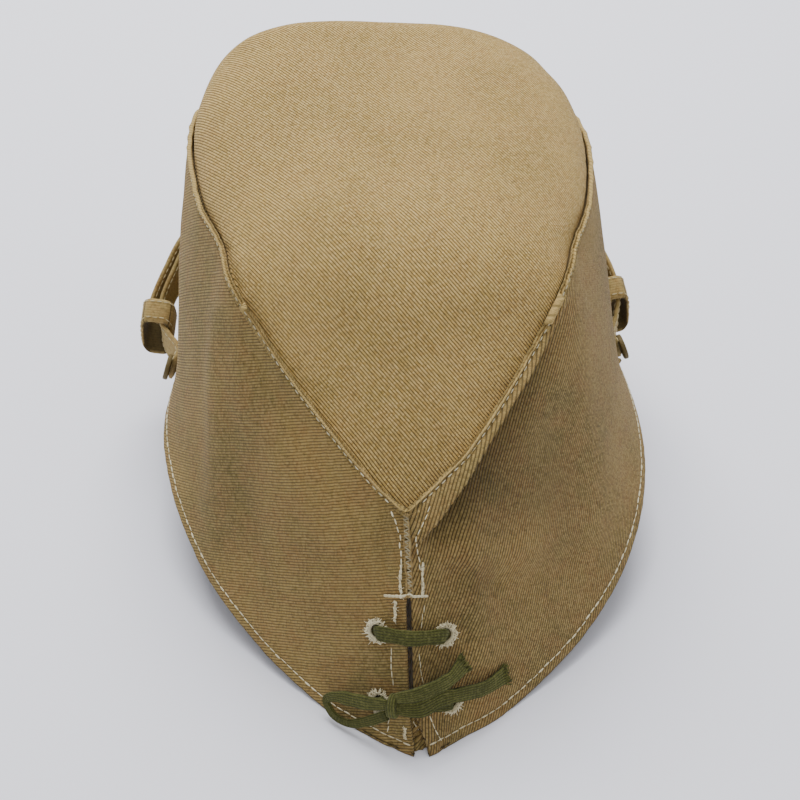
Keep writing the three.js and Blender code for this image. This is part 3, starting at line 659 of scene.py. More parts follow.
def addBump(w, shader, height, distance, strength):
    raised = w.node("Bump")
    raised.inputs["Distance"].default_value = distance
    raised.inputs["Strength"].default_value = strength
    w.feed(raised.inputs["Height"], height)
    w.feed(shader.inputs["Normal"], raised.outputs[0])


def drillCloth(name, look):
    material, w, shader = newMaterial(name, look["roughness"], look["sheen"])
    coords = w.node("TexCoord")
    clothUv = w.node("UVMap", uv_map="cloth")
    patchShadeAndWear = w.node("Attribute", attribute_name="patchShadeAndWear")
    weave = w.group(drillWeave, Cloth=clothUv.outputs["UV"], Pitch=look["pitch"], Wobble=look["wobble"],
                    Gap=look["gap"])
    dye = w.group(unevenDye, Place=coords.outputs["Object"], Seed=look["seed"])
    colour = w.mix(w.math("MULTIPLY", dye["Broad"], look["broad"]), look["light"], look["dark"])
    colour = w.mix(w.math("MULTIPLY", dye["Patch"], look["patch"]), colour, look["warm"])
    speck = w.math("MULTIPLY", weave["Float"], look["speck"])
    colour = w.mix(speck, colour, look["pale"])
    lines = w.math("MULTIPLY", w.math("SUBTRACT", 1.0, weave["Ridge"]), look["lines"])
    colour = w.mix(lines, colour, look["groove"])
    flecks = w.math("MULTIPLY", w.math("POWER", dye["Fleck"], 3.0), look["fleck"])
    colour = w.mix(flecks, colour, look["groove"])
    # the attribute darkens towards the groove colour for patches and painted shade, and where negative pales
    # for worn seam edges and a painted highlight on the pressed fold
    darkened = w.math("MULTIPLY", patchShadeAndWear.outputs["Fac"], look["patchShadeAndWear"], clamp=True)
    colour = w.mix(darkened, colour, look["groove"])
    wearAndHighlight = w.math("MULTIPLY", patchShadeAndWear.outputs["Fac"], -look["worn"], clamp=True)
    colour = w.mix(wearAndHighlight, colour, look["pale"])
    w.feed(shader.inputs["Base Color"], colour)
    height = w.math("ADD", w.math("MULTIPLY", weave["Height"], look["relief"]),
                    w.math("MULTIPLY", dye["Fleck"], look["fuzz"]))
    addBump(w, shader, height, 0.0004, look["strength"])
    return material


def threadCloth(name, look):
    material, w, shader = newMaterial(name, look["roughness"], look["sheen"])
    coords = w.node("TexCoord")
    fibre = w.group(threadFibre, Place=coords.outputs["Object"], Scale=look["scale"])
    dye = w.group(unevenDye, Place=coords.outputs["Object"], Seed=look["seed"])
    colour = w.mix(fibre["Fibre"], look["dark"], look["light"])
    colour = w.mix(w.math("MULTIPLY", dye["Patch"], look["patch"]), colour, look["darkened"])
    w.feed(shader.inputs["Base Color"], colour)
    addBump(w, shader, fibre["Height"], 0.0002, 0.6)
    return material


def ribbedBand(name, look):
    # UV: u along the band and v across it, in metres
    material, w, shader = newMaterial(name, look["roughness"], look["sheen"])
    coords = w.node("TexCoord")
    bandUv = w.node("UVMap", uv_map="cloth")
    uv = w.node("SeparateXYZ")
    w.feed(uv.inputs[0], bandUv.outputs["UV"])
    dye = w.group(unevenDye, Place=coords.outputs["Object"], Seed=look["seed"])
    across = w.math("FRACT", w.math("DIVIDE", uv.outputs["Y"], look["rib"]))
    rib = w.math("SINE", w.math("MULTIPLY", across, math.pi))
    plait = w.math("ADD", w.math("DIVIDE", uv.outputs["X"], look["plait"]),
                   w.math("MULTIPLY", w.math("ABSOLUTE", w.math("SUBTRACT", across, 0.5)), 1.1))
    pick = w.math("SINE", w.math("MULTIPLY", w.math("FRACT", plait), math.pi))
    woven = w.math("MULTIPLY", w.math("POWER", rib, 0.6),
                   w.math("ADD", 0.6, w.math("MULTIPLY", pick, 0.4)))
    colour = w.mix(woven, look["dark"], look["light"])
    colour = w.mix(w.math("MULTIPLY", dye["Patch"], look["patch"]), colour, look["shade"])
    flecks = w.math("MULTIPLY", w.math("POWER", dye["Fleck"], 3.0), look["fleck"])
    colour = w.mix(flecks, colour, look["pale"])
    w.feed(shader.inputs["Base Color"], colour)
    addBump(w, shader, woven, 0.0004, 0.7)
    return material


drillLook = {"roughness": 0.92, "sheen": 0.06, "pitch": 0.00094, "wobble": 0.06, "gap": 0.55, "seed": 0.0,
             "light": rgb(160, 134, 76), "dark": rgb(115, 103, 56), "warm": rgb(156, 118, 69),
             "pale": rgb(192, 166, 106), "groove": rgb(46, 36, 14), "broad": 0.8, "patch": 0.6,
             "speck": 0.4, "lines": 0.66, "fleck": 0.35, "patchShadeAndWear": 0.5, "worn": 0.5,
             "relief": 1.0, "fuzz": 0.3, "strength": 0.9}
crownDrill = drillCloth("crown drill", drillLook | {
    "light": rgb(196, 162, 91), "dark": rgb(158, 131, 66), "warm": rgb(188, 148, 88),
    "pale": rgb(226, 198, 136), "groove": rgb(58, 44, 16), "broad": 0.6, "patch": 0.45, "lines": 0.85,
    "speck": 0.5, "seed": 3.0})
sideDrill = drillCloth("side drill", drillLook)
# the right side's drill: darker colours as painted shade, with stronger twill lines and specks
rightShadedDrill = drillCloth("right side drill with painted shade", drillLook | {
    "light": rgb(155, 128, 73), "dark": rgb(108, 96, 52), "warm": rgb(150, 111, 65),
    "lines": 0.85, "speck": 0.5})
peakDrill = drillCloth("peak drill", drillLook | {"seed": 7.0})
jointCloth = drillCloth("fuzzy joint", drillLook | {
    "light": rgb(168, 148, 96), "dark": rgb(132, 118, 70),
    "lines": 0.25, "seed": 9.0, "fuzz": 1.0, "patchShadeAndWear": 1.0})
strapDrill = drillCloth("strap cloth", drillLook | {
    "light": rgb(170, 146, 92), "dark": rgb(120, 108, 60), "pale": rgb(196, 174, 118),
    "lines": 0.18, "speck": 0.3, "strength": 0.25, "seed": 5.0, "patch": 0.5, "patchShadeAndWear": 0.8})
whiteThread = threadCloth("white thread", {
    "roughness": 0.85, "sheen": 0.2, "scale": 1800.0, "seed": 1.0, "patch": 0.5,
    "light": rgb(250, 242, 208), "dark": rgb(212, 200, 160), "darkened": rgb(190, 174, 128)})
dullThread = threadCloth("dull thread", {
    "roughness": 0.85, "sheen": 0.2, "scale": 1800.0, "seed": 2.0, "patch": 0.6,
    "light": rgb(196, 184, 148), "dark": rgb(140, 128, 92), "darkened": rgb(110, 98, 64)})
greenLace = ribbedBand("green lace", {
    "roughness": 0.9, "sheen": 0.03, "seed": 4.0, "rib": 0.0009, "plait": 0.0011, "patch": 0.6, "fleck": 0.3,
    "light": rgb(94, 95, 45), "dark": rgb(22, 25, 9), "shade": rgb(52, 54, 24), "pale": rgb(128, 126, 74)})
strapThread = threadCloth("strap thread", {
    "roughness": 0.85, "sheen": 0.2, "scale": 1800.0, "seed": 8.0, "patch": 0.5,
    "light": rgb(226, 214, 172), "dark": rgb(184, 168, 122), "darkened": rgb(156, 140, 96)})
buttonBrown = threadCloth("button", {
    "roughness": 0.5, "sheen": 0.0, "scale": 500.0, "seed": 6.0, "patch": 0.4,
    "light": rgb(120, 104, 66), "dark": rgb(92, 80, 48), "darkened": rgb(70, 60, 36)})
print("materials ready")


# Panels
panel = {"length": 250, "sideRows": 108, "crownRows": 126, "flatSteps": 60, "lineAngleLeft": 7.0,
         "lineAngleRight": 70.0, "lineAngleCrown": 50.0}
darkPatches = (      # darker patches: s, m, size in millimetres, strength; the ones at (0.17, 1.24) and (0.21, 1.2) are painted shade in the hollow past the pressed fold
    (0.17, 1.24, 13, 0.55), (0.11, 1.44, 9, 0.5), (0.24, 1.46, 12, 0.4), (0.12, -1.5, 12, 0.2),
    (0.27, -1.6, 18, 0.2), (0.04, 0.0, 16, 0.25), (0.21, 1.2, 11, 0.3),
)
darkPatchPlaces = [(toFrame(skinPoint(s, m)), size * mm, strength) for s, m, size, strength in darkPatches]


# darkening by the patches, painted shade where they lie in that hollow
def darkeningAt(point):
    return min(1.0, sum(strength * math.exp(-((point - place).length / size) ** 2)
                        for place, size, strength in darkPatchPlaces))


def spaced(count, ends, middle):
    # places from 0 to 1, close together at the ends
    gaps = [mixed(ends, middle, math.sin(math.pi * (i + 0.5) / count) ** 1.6) for i in range(count)]
    total, place, places = sum(gaps), 0.0, [0.0]
    for gap in gaps:
        place += gap / total
        places.append(place)
    return places


lengthShares = [i / panel["length"] for i in range(panel["length"] + 1)]
lengthPlaces = [mixed(0.4, 1.0, share) * share for share in lengthShares]     # closer together at the rear


def turned(x, y, angle):
    a = math.radians(angle)
    return (x * math.cos(a) + y * math.sin(a)) * mm, (y * math.cos(a) - x * math.sin(a)) * mm


def sideLayout(side):
    # the panel laid flat: for each place along it, the middle of its width, the way down and the width
    steps = panel["flatSteps"]
    middle, heading = Vector((0, 0)), -math.pi / 2
    laid = []
    for k in range(steps + 1):
        s = k / steps
        width = sideWidth(s, side)
        laid.append((middle.copy(), heading, width))
        if k == steps:
            break
        here = [skinPoint(s, side * m) for m in (1, 1.5, 2)]
        ahead = [skinPoint(s + 1 / steps, side * m) for m in (1, 1.5, 2)]
        down = (here[2] - here[0]).normalized()
        step = ahead[1] - here[1]
        angle = math.acos(min(max(step.normalized().dot(down), -1), 1))
        toward = heading + side * angle
        middle += Vector((math.cos(toward), math.sin(toward))) * step.length
        spread = [(b - a - down * (b - a).dot(down)).length for a, b in zip(here, ahead)]
        heading += side * (spread[2] - spread[0]) / width
    return laid


def sidePiece(name, side, node):
    downPlaces = spaced(panel["sideRows"], 0.3, 1.3)
    laid = sideLayout(side)
    angle, cut = (panel["lineAngleLeft"], sideDrill) if side < 0 else (panel["lineAngleRight"], rightShadedDrill)

    def sd(i, j):
        s = cloth["sideEnd"] * lengthPlaces[j]
        return s, downPlaces[i] * (sideWidth(s, side) + cloth["seamLap"])

    def place(i, j):
        return sideSurface(side, *sd(i, j))

    def layout(i, j):
        s, d = sd(i, j)
        k = min(int(s * panel["flatSteps"]), panel["flatSteps"] - 1)
        f = s * panel["flatSteps"] - k
        (m0, h0, w0), (m1, h1, w1) = laid[k], laid[k + 1]
        middle, heading, width = m0.lerp(m1, f), mixed(h0, h1, f), mixed(w0, w1, f)
        away = d - cloth["seamLap"] - width / 2
        return turned(middle.x + math.cos(heading) * away, middle.y + math.sin(heading) * away, angle)

    def patchesAndShade(point, i, j):
        s, d = sd(i, j)
        toHem = sideWidth(s, side) + cloth["seamLap"] - d
        worn = seam["worn"] * (1 - smooth(d, 1.0, 1.9))
        fold = pressedShade(s, d) if side > 0 else 0.0
        # the patches, painted shade in the hollow past the pressed fold and a painted highlight on it, a
        # painted contact shadow along the hem's lower edge, less the worn paler seam edge
        return darkeningAt(point) + fold + hem["shade"] * (1 - smooth(toHem, 0.2, 0.9)) - worn

    piece = clothPiece(name, panel["sideRows"], panel["length"], place, layout, patchesAndShade,
                       lambda c: (c - toFrame(Vector((0, 100, 40)))), cut,
                       [hole for hole in eyeletPlaces if hole["side"] == side])
    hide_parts(node)
    return piece


def crownPiece():
    acrossPlaces = [2 * place - 1 for place in spaced(panel["crownRows"], 0.6, 1.0)]
    centre = [0.0]
    fine = 400
    for k in range(fine):
        centre.append(centre[-1] + (skinPoint((k + 1) / fine, 0) - skinPoint(k / fine, 0)).length)

    def sm(i, j):
        s = mixed(cloth["crownStart"], 1.0, lengthPlaces[j])
        return s, acrossPlaces[i] * (1 + min(cloth["seamTuck"] / sideWidth(s, 1), 0.5))

    def place(i, j):
        return crownSurface(*sm(i, j))

    def layout(i, j):
        s, m = sm(i, j)
        x = math.copysign(valueAt(crownLengths(s), abs(m) * crownSteps), m)
        return turned(x, valueAt(centre, s * fine), -panel["lineAngleCrown"])

    def patchesAndShade(point, i, j):
        s, m = sm(i, j)
        # the patches, and a darker band within 2.2 mm of each seam: painted shadow beside the side's lapped
        # edge
        return min(1.0, darkeningAt(point) + 0.8 * smooth(abs(m), 1 - 2.2 / crownHalf(s), 1))

    piece = clothPiece("crown_cloth", panel["crownRows"], panel["length"], place, layout, patchesAndShade,
                       lambda c: (c - toFrame(Vector((0, 120, 60)))), crownDrill, [])
    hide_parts("crown_panel")
    return piece


eyeletLook = {"hole": 2.2, "inner": 2.05, "outer": 4.3, "rise": 0.8, "strands": 60, "thread": 0.2,
              "crossing": 26, "loose": 9}
eyeletPlaces = []
for label, side, x, z in (("upper_left", -1, -9.6, 32.3), ("upper_right", 1, 11.4, 31.4),
                          ("lower_left", -1, -8.8, 11.9), ("lower_right", 1, 13.2, 11.7)):
    place, up = onRear(x, z, clothFace)
    eyeletPlaces.append({"label": label, "side": side, "place": place, "up": up})

crownPiece()
sidePiece("side_cloth_left", -1, "side_panel_left")
sidePiece("side_cloth_right", 1, "side_panel_right")
print("panels made")

# Eyelets: thread sewn round each hole


def eyeletPiece(hole):
    look = eyeletLook
    work = bmesh.new()
    up = hole["up"]
    right = Vector((1, 0, 0))
    right = (right - up * right.dot(up)).normalized()
    top = up.cross(right).normalized()
    for k in range(look["strands"]):
        angle = 2 * math.pi * (k + random.uniform(-0.25, 0.25)) / look["strands"]
        twist = angle + random.uniform(-0.3, 0.3)
        inward = right * math.cos(angle) + top * math.sin(angle)
        outward = right * math.cos(twist) + top * math.sin(twist)
        reach = look["outer"] * random.uniform(0.86, 1.1)
        low = hole["place"] + inward * look["inner"] - up * 0.2
        high = hole["place"] + inward * (look["inner"] + 0.7) + up * look["rise"] * random.uniform(0.8, 1.2)
        end = hole["place"] + outward * reach + up * random.uniform(0.0, 0.35)
        size = look["thread"] * random.uniform(0.8, 1.2)
        thread(work, toFrame(low), toFrame(high), up, size * mm)
        thread(work, toFrame(high), toFrame(end), up, size * mm)
    for k in range(look["crossing"]):
        angle = 2 * math.pi * k / look["crossing"]
        a, b = (right * math.cos(t) + top * math.sin(t) for t in (angle - 0.2, angle + 0.2))
        radius = mixed(look["inner"], look["outer"], random.uniform(0.2, 0.9))
        lift = up * random.uniform(0.5, 0.9)
        start, end = (toFrame(hole["place"] + way * radius + lift) for way in (a, b))
        thread(work, start, end, up, look["thread"] * mm)
    for _ in range(look["loose"]):
        angle = random.uniform(0, 2 * math.pi)
        outward = right * math.cos(angle) + top * math.sin(angle)
        start = hole["place"] + outward * look["outer"] * 0.8 + up * 0.5
        end = start + outward * random.uniform(0.8, 1.8) + up * random.uniform(0, 0.6)
        end += right * random.uniform(-0.6, 0.6)
        thread(work, toFrame(start), toFrame(end), up, 0.09 * mm)
    piece = finish("eyelet_thread_" + hole["label"], work, whiteThread)
    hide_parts("eyelet_" + hole["label"])


for hole in eyeletPlaces:
    eyeletPiece(hole)
print("eyelets made")


# Bands: the lace and the strap


def bandPiece(name, rows, steps, look, material, slotName, *nodes, sunkShade=None):
    # rows: (point, up, width) in millimetres. The sunk function gives 0 to 1 where the band is pushed in,
    # with painted shade there
    work = bmesh.new()
    sides, thick, ribs, corner = look["sides"], look["thick"], look["ribs"], look["corner"]
    points = [row[0] for row in rows]
    rings, travelled, lengths = [], 0.0, []
    last = None
    for place, way, t in path(points, steps):
        k = min(int(t), len(rows) - 2)
        hint = rows[k][1].lerp(rows[k + 1][1], t - k)
        across = way.cross(hint).normalized()
        up = across.cross(way).normalized()
        width = mixed(rows[k][2], rows[k + 1][2], t - k)
        travelled += (place - last).length if last else 0.0
        last = place
        lengths.append(travelled)
        wave = 1 + look["wander"] * noise.noise(Vector((travelled / 3, 7.7, 1.3)))
        ring = []
        for c in range(sides):
            angle = (c + 0.5) / sides * 2 * math.pi
            cx, cy = math.cos(angle), math.sin(angle)
            x = math.copysign(abs(cx) ** corner, cx) * width / 2 * wave
            y = math.copysign(abs(cy) ** corner, cy) * thick / 2
            y *= 1 + look["ribDepth"] * math.cos(x / width * 2 * math.pi * ribs)
            if sunkShade:
                y -= 0.5 * sunkShade(travelled, angle)
            ring.append(toFrame(place + across * x + up * y))
        rings.append(ring)
    uvLayer = work.loops.layers.uv.new("cloth")
    patchShadeLayer = work.verts.layers.float.new("patchShadeAndWear")
    tube(work, rings)
    width = max(row[2] for row in rows)
    index = {}
    for i, ring in enumerate(rings):
        for c, point in enumerate(ring):
            index[tuple(round(v, 7) for v in point)] = (i, c)
    for face in work.faces:
        for loop in face.loops:
            i, c = index.get(tuple(round(v, 7) for v in loop.vert.co), (0, 0))
            angle = (c + 0.5) / sides * 2 * math.pi
            x = math.copysign(abs(math.cos(angle)) ** corner, math.cos(angle)) * width / 2
            loop[uvLayer].uv = (lengths[i] * mm, (x + 20) * mm)
            # painted shade where the band is pushed in
            if sunkShade:
                loop.vert[patchShadeLayer] = sunkShade(lengths[i], angle)
    piece = finish(name, work, material)
    if nodes:
        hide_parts(*nodes)
    return piece, lengths[-1]


laceLook = {"thick": 1.4, "sides": 28, "ribs": 5, "ribDepth": 0.12, "wander": 0.1, "corner": 0.6, "free": 2.5,
            "narrow": 3.4, "width": 4.8, "frayed": 5.8}
narrow, wide, frayed = laceLook["narrow"], laceLook["width"], laceLook["frayed"]
laceRoute = (    # x, z, lift off the cloth, width
    (-7.4, 15.4, 4.8, narrow), (-9.4, 13.6, 4.5, narrow), (-8.8, 11.9, 2.4, narrow),
    (-8.8, 12.1, -0.4, narrow), (-9, 15, -2, narrow), (-9.3, 22, -2, wide), (-9.5, 29, -2, narrow),
    (-9.6, 32.1, -0.4, narrow),
    (-9.6, 32.3, 2.4, narrow), (-9.0, 34.0, 4.4, wide), (-5.5, 34.6, 4.4, wide), (0.8, 34.4, 4.2, wide),
    (7, 34.0, 4.4, wide), (10.8, 33.2, 4.4, wide), (11.4, 31.4, 2.4, narrow), (11.4, 31.2, -0.4, narrow),
    (11.5, 28.4, -2, narrow), (12.2, 22, -2, wide), (13.1, 15, -2, narrow), (13.2, 11.9, -0.4, narrow),
    (13.2, 11.7, 2.4, narrow), (12.9, 13.2, 4.4, narrow), (8, 14.6, 4.2, wide), (1.4, 16, 4.4, narrow))
edgeOn, broad = 2.6, 5.6      # widths where the lace turns its edge to the rear, and where it is pressed flat
bowLoop = (
    (-6.4, 17.6, 7.8, narrow), (-12.5, 15.0, 7.4, wide), (-18.6, 12.4, 6.6, wide), (-23.2, 9.8, 5.8, narrow),
    (-25.8, 6.4, 5, edgeOn), (-23.4, 3.3, 4.8, edgeOn), (-18.5, 3.6, 4.8, edgeOn), (-13, 7.0, 4.9, narrow),
    (-6.6, 12.6, 5.8, narrow))
tailUpper = (
    (-3.6, 21.0, 8.2, narrow), (2.4, 22.4, 8.8, wide), (7.9, 23.4, 8.6, wide), (13, 23.2, 7.4, wide),
    (16.8, 24.2, 5.8, frayed))
tailLower = (
    (-3.8, 16.6, 6.9, narrow), (3.5, 17.0, 6.8, broad), (10, 17.8, 6.6, broad), (16.5, 16.4, 6.1, wide),
    (24, 13.8, 4.5, wide), (30.4, 12.8, 3.2, frayed))


def laceRows(route):
    rows = []
    for x, z, lift, width in route:
        place, up = onRear(x, z, lift) if lift < laceLook["free"] else overRear(x, z, lift)
        rows.append((place, up, width))
    return rows


lacePieces = (("lace_run", laceRoute, 230, "lace_cord"), ("lace_bow", bowLoop, 120, "lace_loop"),
              ("lace_end_upper", tailUpper, 70, "lace_tail_upper"),
              ("lace_end_lower", tailLower, 90, "lace_tail_lower"))
for name, route, steps, node in lacePieces:
    _, length = bandPiece(name, laceRows(route), steps, laceLook, greenLace, "lace", node)
    print(name, "length", round(length), "mm")


def frayPiece(name, route, count):
    # loose fibres past a cut end of the lace
    work = bmesh.new()
    uvLayer = work.loops.layers.uv.new("cloth")
    (a, _, _), (b, up, width) = laceRows(route)[-2:]
    way = (b - a).normalized()
    across = way.cross(up).normalized()
    for k in range(count):
        offset = across * (k / (count - 1) - 0.5) * width * 0.9 + up * random.uniform(-0.5, 0.5)
        start = b + offset - way * 1.2
        end = b + offset * random.uniform(1.0, 1.6) + way * random.uniform(0.6, 2.8)
        end += up * random.uniform(-1.2, 0.8)
        thread(work, toFrame(start), toFrame(end), up, random.uniform(0.16, 0.34) * mm)
    for face in work.faces:
        for loop in face.loops:
            loop[uvLayer].uv = (loop.vert.co.x, loop.vert.co.z)
    finish(name, work, greenLace)


frayPiece("lace_fray_upper", tailUpper, 64)
frayPiece("lace_fray_lower", tailLower, 64)


knot = {"x": -4.4, "z": 16.6, "lift": 6.2, "across": 2.3, "tall": 3.4, "deep": 2.1, "core": 0.97,
        "turnWidth": 3.3, "turnThick": 1.2, "turnLean": 0.12, "corner": 0.6, "around": 40, "sides": 14}


def knotPiece():
    # a rounded core with one turn of the lace over it
    place, up = overRear(knot["x"], knot["z"], knot["lift"])
    right = (Vector((1, 0, 0)) - up * up.x).normalized()
    top = up.cross(right).normalized()
    work = bmesh.new()
    uvLayer = work.loops.layers.uv.new("cloth")
    turn = Matrix((right, top, up)).transposed().to_4x4()
    size = Matrix.Diagonal((knot["across"] * mm, knot["tall"] * knot["core"] * mm,
                            knot["deep"] * knot["core"] * mm, 1))
    bmesh.ops.create_uvsphere(work, u_segments=24, v_segments=16, radius=1,
                              matrix=Matrix.Translation(toFrame(place)) @ turn @ size)
    rings = []
    for k in range(knot["around"]):
        angle = 2 * math.pi * k / knot["around"]
        out = top * math.cos(angle) * knot["tall"] + up * math.sin(angle) * knot["deep"]
        centre = place + out + right * knot["turnLean"] * out.dot(top)
        outward = (top * math.cos(angle) / knot["tall"] + up * math.sin(angle) / knot["deep"]).normalized()
        ring = []
        for c in range(knot["sides"]):
            turnBy = 2 * math.pi * c / knot["sides"]
            cx, cy = math.cos(turnBy), math.sin(turnBy)
            x = math.copysign(abs(cx) ** knot["corner"], cx) * knot["turnWidth"] / 2
            y = math.copysign(abs(cy) ** knot["corner"], cy) * knot["turnThick"] / 2
            ring.append(toFrame(centre + right * x + outward * y))
        rings.append(ring)
    tube(work, rings, closed=True)
    for face in work.faces:
        for loop in face.loops:
            local = loop.vert.co - toFrame(place)
            loop[uvLayer].uv = (local.dot(top), local.dot(right) + 0.02)
    piece = finish("lace_wrap", work, greenLace)
    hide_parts("lace_knot")


knotPiece()
print("lace made")


# Chin strap: from the buttons round the front
strap = {"width": 12.0, "thick": 1.7, "stand": 0.85, "sides": 24, "ribs": 0, "ribDepth": 0.0, "wander": 0.0,
         "corner": 0.4, "edgeStitch": 1.4, "stitch": 2.0, "gap": 0.5, "thread": 0.22}
strapRise = clothFace + strap["stand"] + strap["thick"] / 2
strapInner = (   # side, y, z against the cloth, or x, y, z and the degrees that its upper edge leans out
    ("on", -1, 145.5, 37), ("on", -1, 151.5, 37.8), (-89.2, 158.5, 39.6, -4), (-91, 163.5, 42, 0),
    (-90, 170.5, 48.4, 0), (-85.8, 178, 55, 0), (-80, 189, 62, 0), (-69, 204, 67, 0), (-50, 219, 71, 0),
    (-26, 228, 73, 0), (0, 231, 73, 0), (26, 227.5, 72, 0), (49, 217, 69, 0), (64, 202, 63.5, 0),
    (67.6, 190.5, 59.2, 0), (71.8, 181.5, 54.6, 0), (74.6, 175, 49.4, 0), (75.3, 171.5, 46.4, 0))
strapOuter = (
    ("on", 1, 156, 38), ("on", 1, 161, 39.4), (78.6, 168, 43.4, -4), (78.2, 175, 49.4, 0),
    (75.2, 182, 54.8, 0), (71, 191, 59.6, 0), (66.6, 203.8, 63.7, 0), (50.4, 219.6, 69.2, 0),
    (26.8, 230.3, 72.2, 0),
    (0, 233.9, 73.2, 0), (-27, 230.8, 73.2, 0), (-51.6, 221.4, 71.2, 0), (-71.2, 205.8, 67.2, 0),
    (-82.7, 190.2, 62.2, 0), (-88.8, 178.8, 55.4, 0), (-93.2, 170.8, 48.6, 0), (-94.6, 165.4, 43.8, 0))


def strapRows(route):
    points, ups = [], []
    for row in route:
        if row[0] == "on":
            s, m = findOnSide(row[1], {"y": row[2], "z": row[3]}, strapRise)
            points.append(foldedPoint(s, m, strapRise))
            ups.append(skinNormal(s, m) * row[1])
        else:
            points.append(Vector(row[:3]))
            ups.append(None)
    for i, row in enumerate(route):
        if ups[i] is None:
            tangent = (points[min(i + 1, len(points) - 1)] - points[i - 1]).normalized()
            away = Vector((points[i].x, points[i].y - 120, 0)).normalized()
            roll = math.radians(row[3])
            upper = Vector((0, 0, math.cos(roll))) + away * math.sin(roll)
            ups[i] = tangent.cross(upper).normalized()
    return [(point, up, strap["width"]) for point, up in zip(points, ups)]


def strapEdges(rows, steps, name):
    # a row of stitches near both edges, on both faces
    work = bmesh.new()
    samples = []
    for place, way, t in path([row[0] for row in rows], steps):
        k = min(int(t), len(rows) - 2)
        up = rows[k][1].lerp(rows[k + 1][1], t - k)
        across = way.cross(up).normalized()
        samples.append((place, across, across.cross(way).normalized()))
    for edge in (-1, 1):
        for face in (-1, 1):
            inset = strap["width"] / 2 - strap["edgeStitch"]
            line = [(toFrame(p + across * edge * inset + up * face * (strap["thick"] / 2 + 0.02)), up)
                    for p, across, up in samples]
            stitchRow(work, line, strap["stitch"] * mm, strap["gap"] * mm, strap["thread"] * mm)
    finish(name, work, strapThread)


innerRows, outerRows = strapRows(strapInner), strapRows(strapOuter)
_, innerLength = bandPiece("strap_inner", innerRows, 260, strap, strapDrill, "strap_cloth",
                           "chin_strap_inner")
_, outerLength = bandPiece("strap_outer", outerRows, 280, strap, strapDrill, "strap_cloth",
                           "chin_strap_outer")
print("strap lengths", round(innerLength), round(outerLength), "mm")
strapEdges(innerRows, 260, "strap_stitches_inner")
strapEdges(outerRows, 280, "strap_stitches_outer")


keeper = {"length": 9.0, "wall": 1.3, "over": 1.2, "around": 56, "corner": 0.55, "stitchAt": 0.36,
          "slantNear": 0.62, "slantFar": 0.2}
keeperSection = (       # share of the length from the middle, share of the wall outwards
    (-0.5, 0.3), (-0.44, 0.85), (-0.3, 1), (-0.1, 1.04), (0.1, 1.04), (0.3, 1), (0.44, 0.85), (0.5, 0.3),
    (0.44, 0), (0.2, 0), (-0.2, 0), (-0.44, 0),
)


def keeperPiece(label, inner, outer, room):
    def at(rows, wanted):
        samples = path([row[0] for row in rows], 20 * (len(rows) - 1))
        return min(samples, key=lambda sample: abs(sample[2] - wanted))

    a, b = at(innerRows, inner), at(outerRows, outer)
    centre = a[0].lerp(b[0], 0.5)
    along = (a[1] + b[1] * math.copysign(1, a[1].dot(b[1]))).normalized()
    along *= -math.copysign(1, along.y)      # towards the rear of the cap
    out = b[0] - a[0]
    out = (out - along * out.dot(along)).normalized()
    upper = along.cross(out).normalized()
    thick = (b[0] - a[0]).length + strap["thick"] + 2 * room
    tall = strap["width"] + 2 * keeper["over"]
    if upper.z < 0:
        upper = -upper

    def slanted(y, place):
        # the lower wall reaches further towards the rear than the upper one
        slant = mixed(keeper["slantFar"], keeper["slantNear"], place + 0.5)
        return along * (place * keeper["length"] + slant * (tall / 2 - y))

    work = bmesh.new()
    uvLayer = work.loops.layers.uv.new("cloth")
    patchShadeLayer = work.verts.layers.float.new("patchShadeAndWear")
    rings = []
    for c in range(keeper["around"]):
        angle = 2 * math.pi * (c + 0.5) / keeper["around"]
        cx, cy = math.cos(angle), math.sin(angle)
        ring = []
        for place, share in keeperSection:
            half = keeper["wall"] * share
            x = math.copysign(abs(cx) ** keeper["corner"], cx) * (thick / 2 + half)
            y = math.copysign(abs(cy) ** keeper["corner"], cy) * (tall / 2 + half)
            ring.append(toFrame(centre + out * x + upper * y + slanted(y, place)))
        rings.append(ring)
    tube(work, rings, closed=True)
    for face in work.faces:
        for loop in face.loops:
            local = loop.vert.co - toFrame(centre)
            loop[uvLayer].uv = (local.dot(upper) + local.dot(out), local.dot(along))
    for vert in work.verts:      # painted shade inside the loop
        local = vert.co - toFrame(centre)
        nearOut = abs(local.dot(out)) < (thick / 2 + 0.2) * mm
        nearUp = abs(local.dot(upper)) < (tall / 2 + 0.2) * mm
        vert[patchShadeLayer] = 1.0 if nearOut and nearUp else 0.0
    piece = finish("keeper_" + label, work, strapDrill)
    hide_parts("strap_keeper_" + label)
    stitches = bmesh.new()
    for edge in (-keeper["stitchAt"], keeper["stitchAt"]):
        line = []
        for c in range(81):
            angle = 2 * math.pi * c / 80
            cx, cy = math.cos(angle), math.sin(angle)
            x = math.copysign(abs(cx) ** keeper["corner"], cx) * (thick / 2 + keeper["wall"] + 0.03)
            y = math.copysign(abs(cy) ** keeper["corner"], cy) * (tall / 2 + keeper["wall"] + 0.03)
            line.append((toFrame(centre + out * x + upper * y + slanted(y, edge)), out * cx + upper * cy))
        stitchRow(stitches, line, strap["stitch"] * mm, strap["gap"] * mm, strap["thread"] * mm)
    finish("keeper_stitches_" + label, stitches, strapThread)


keeperPiece("left", 3.5, 15.6, 2.2)
keeperPiece("right", 16, 3, 1.8)


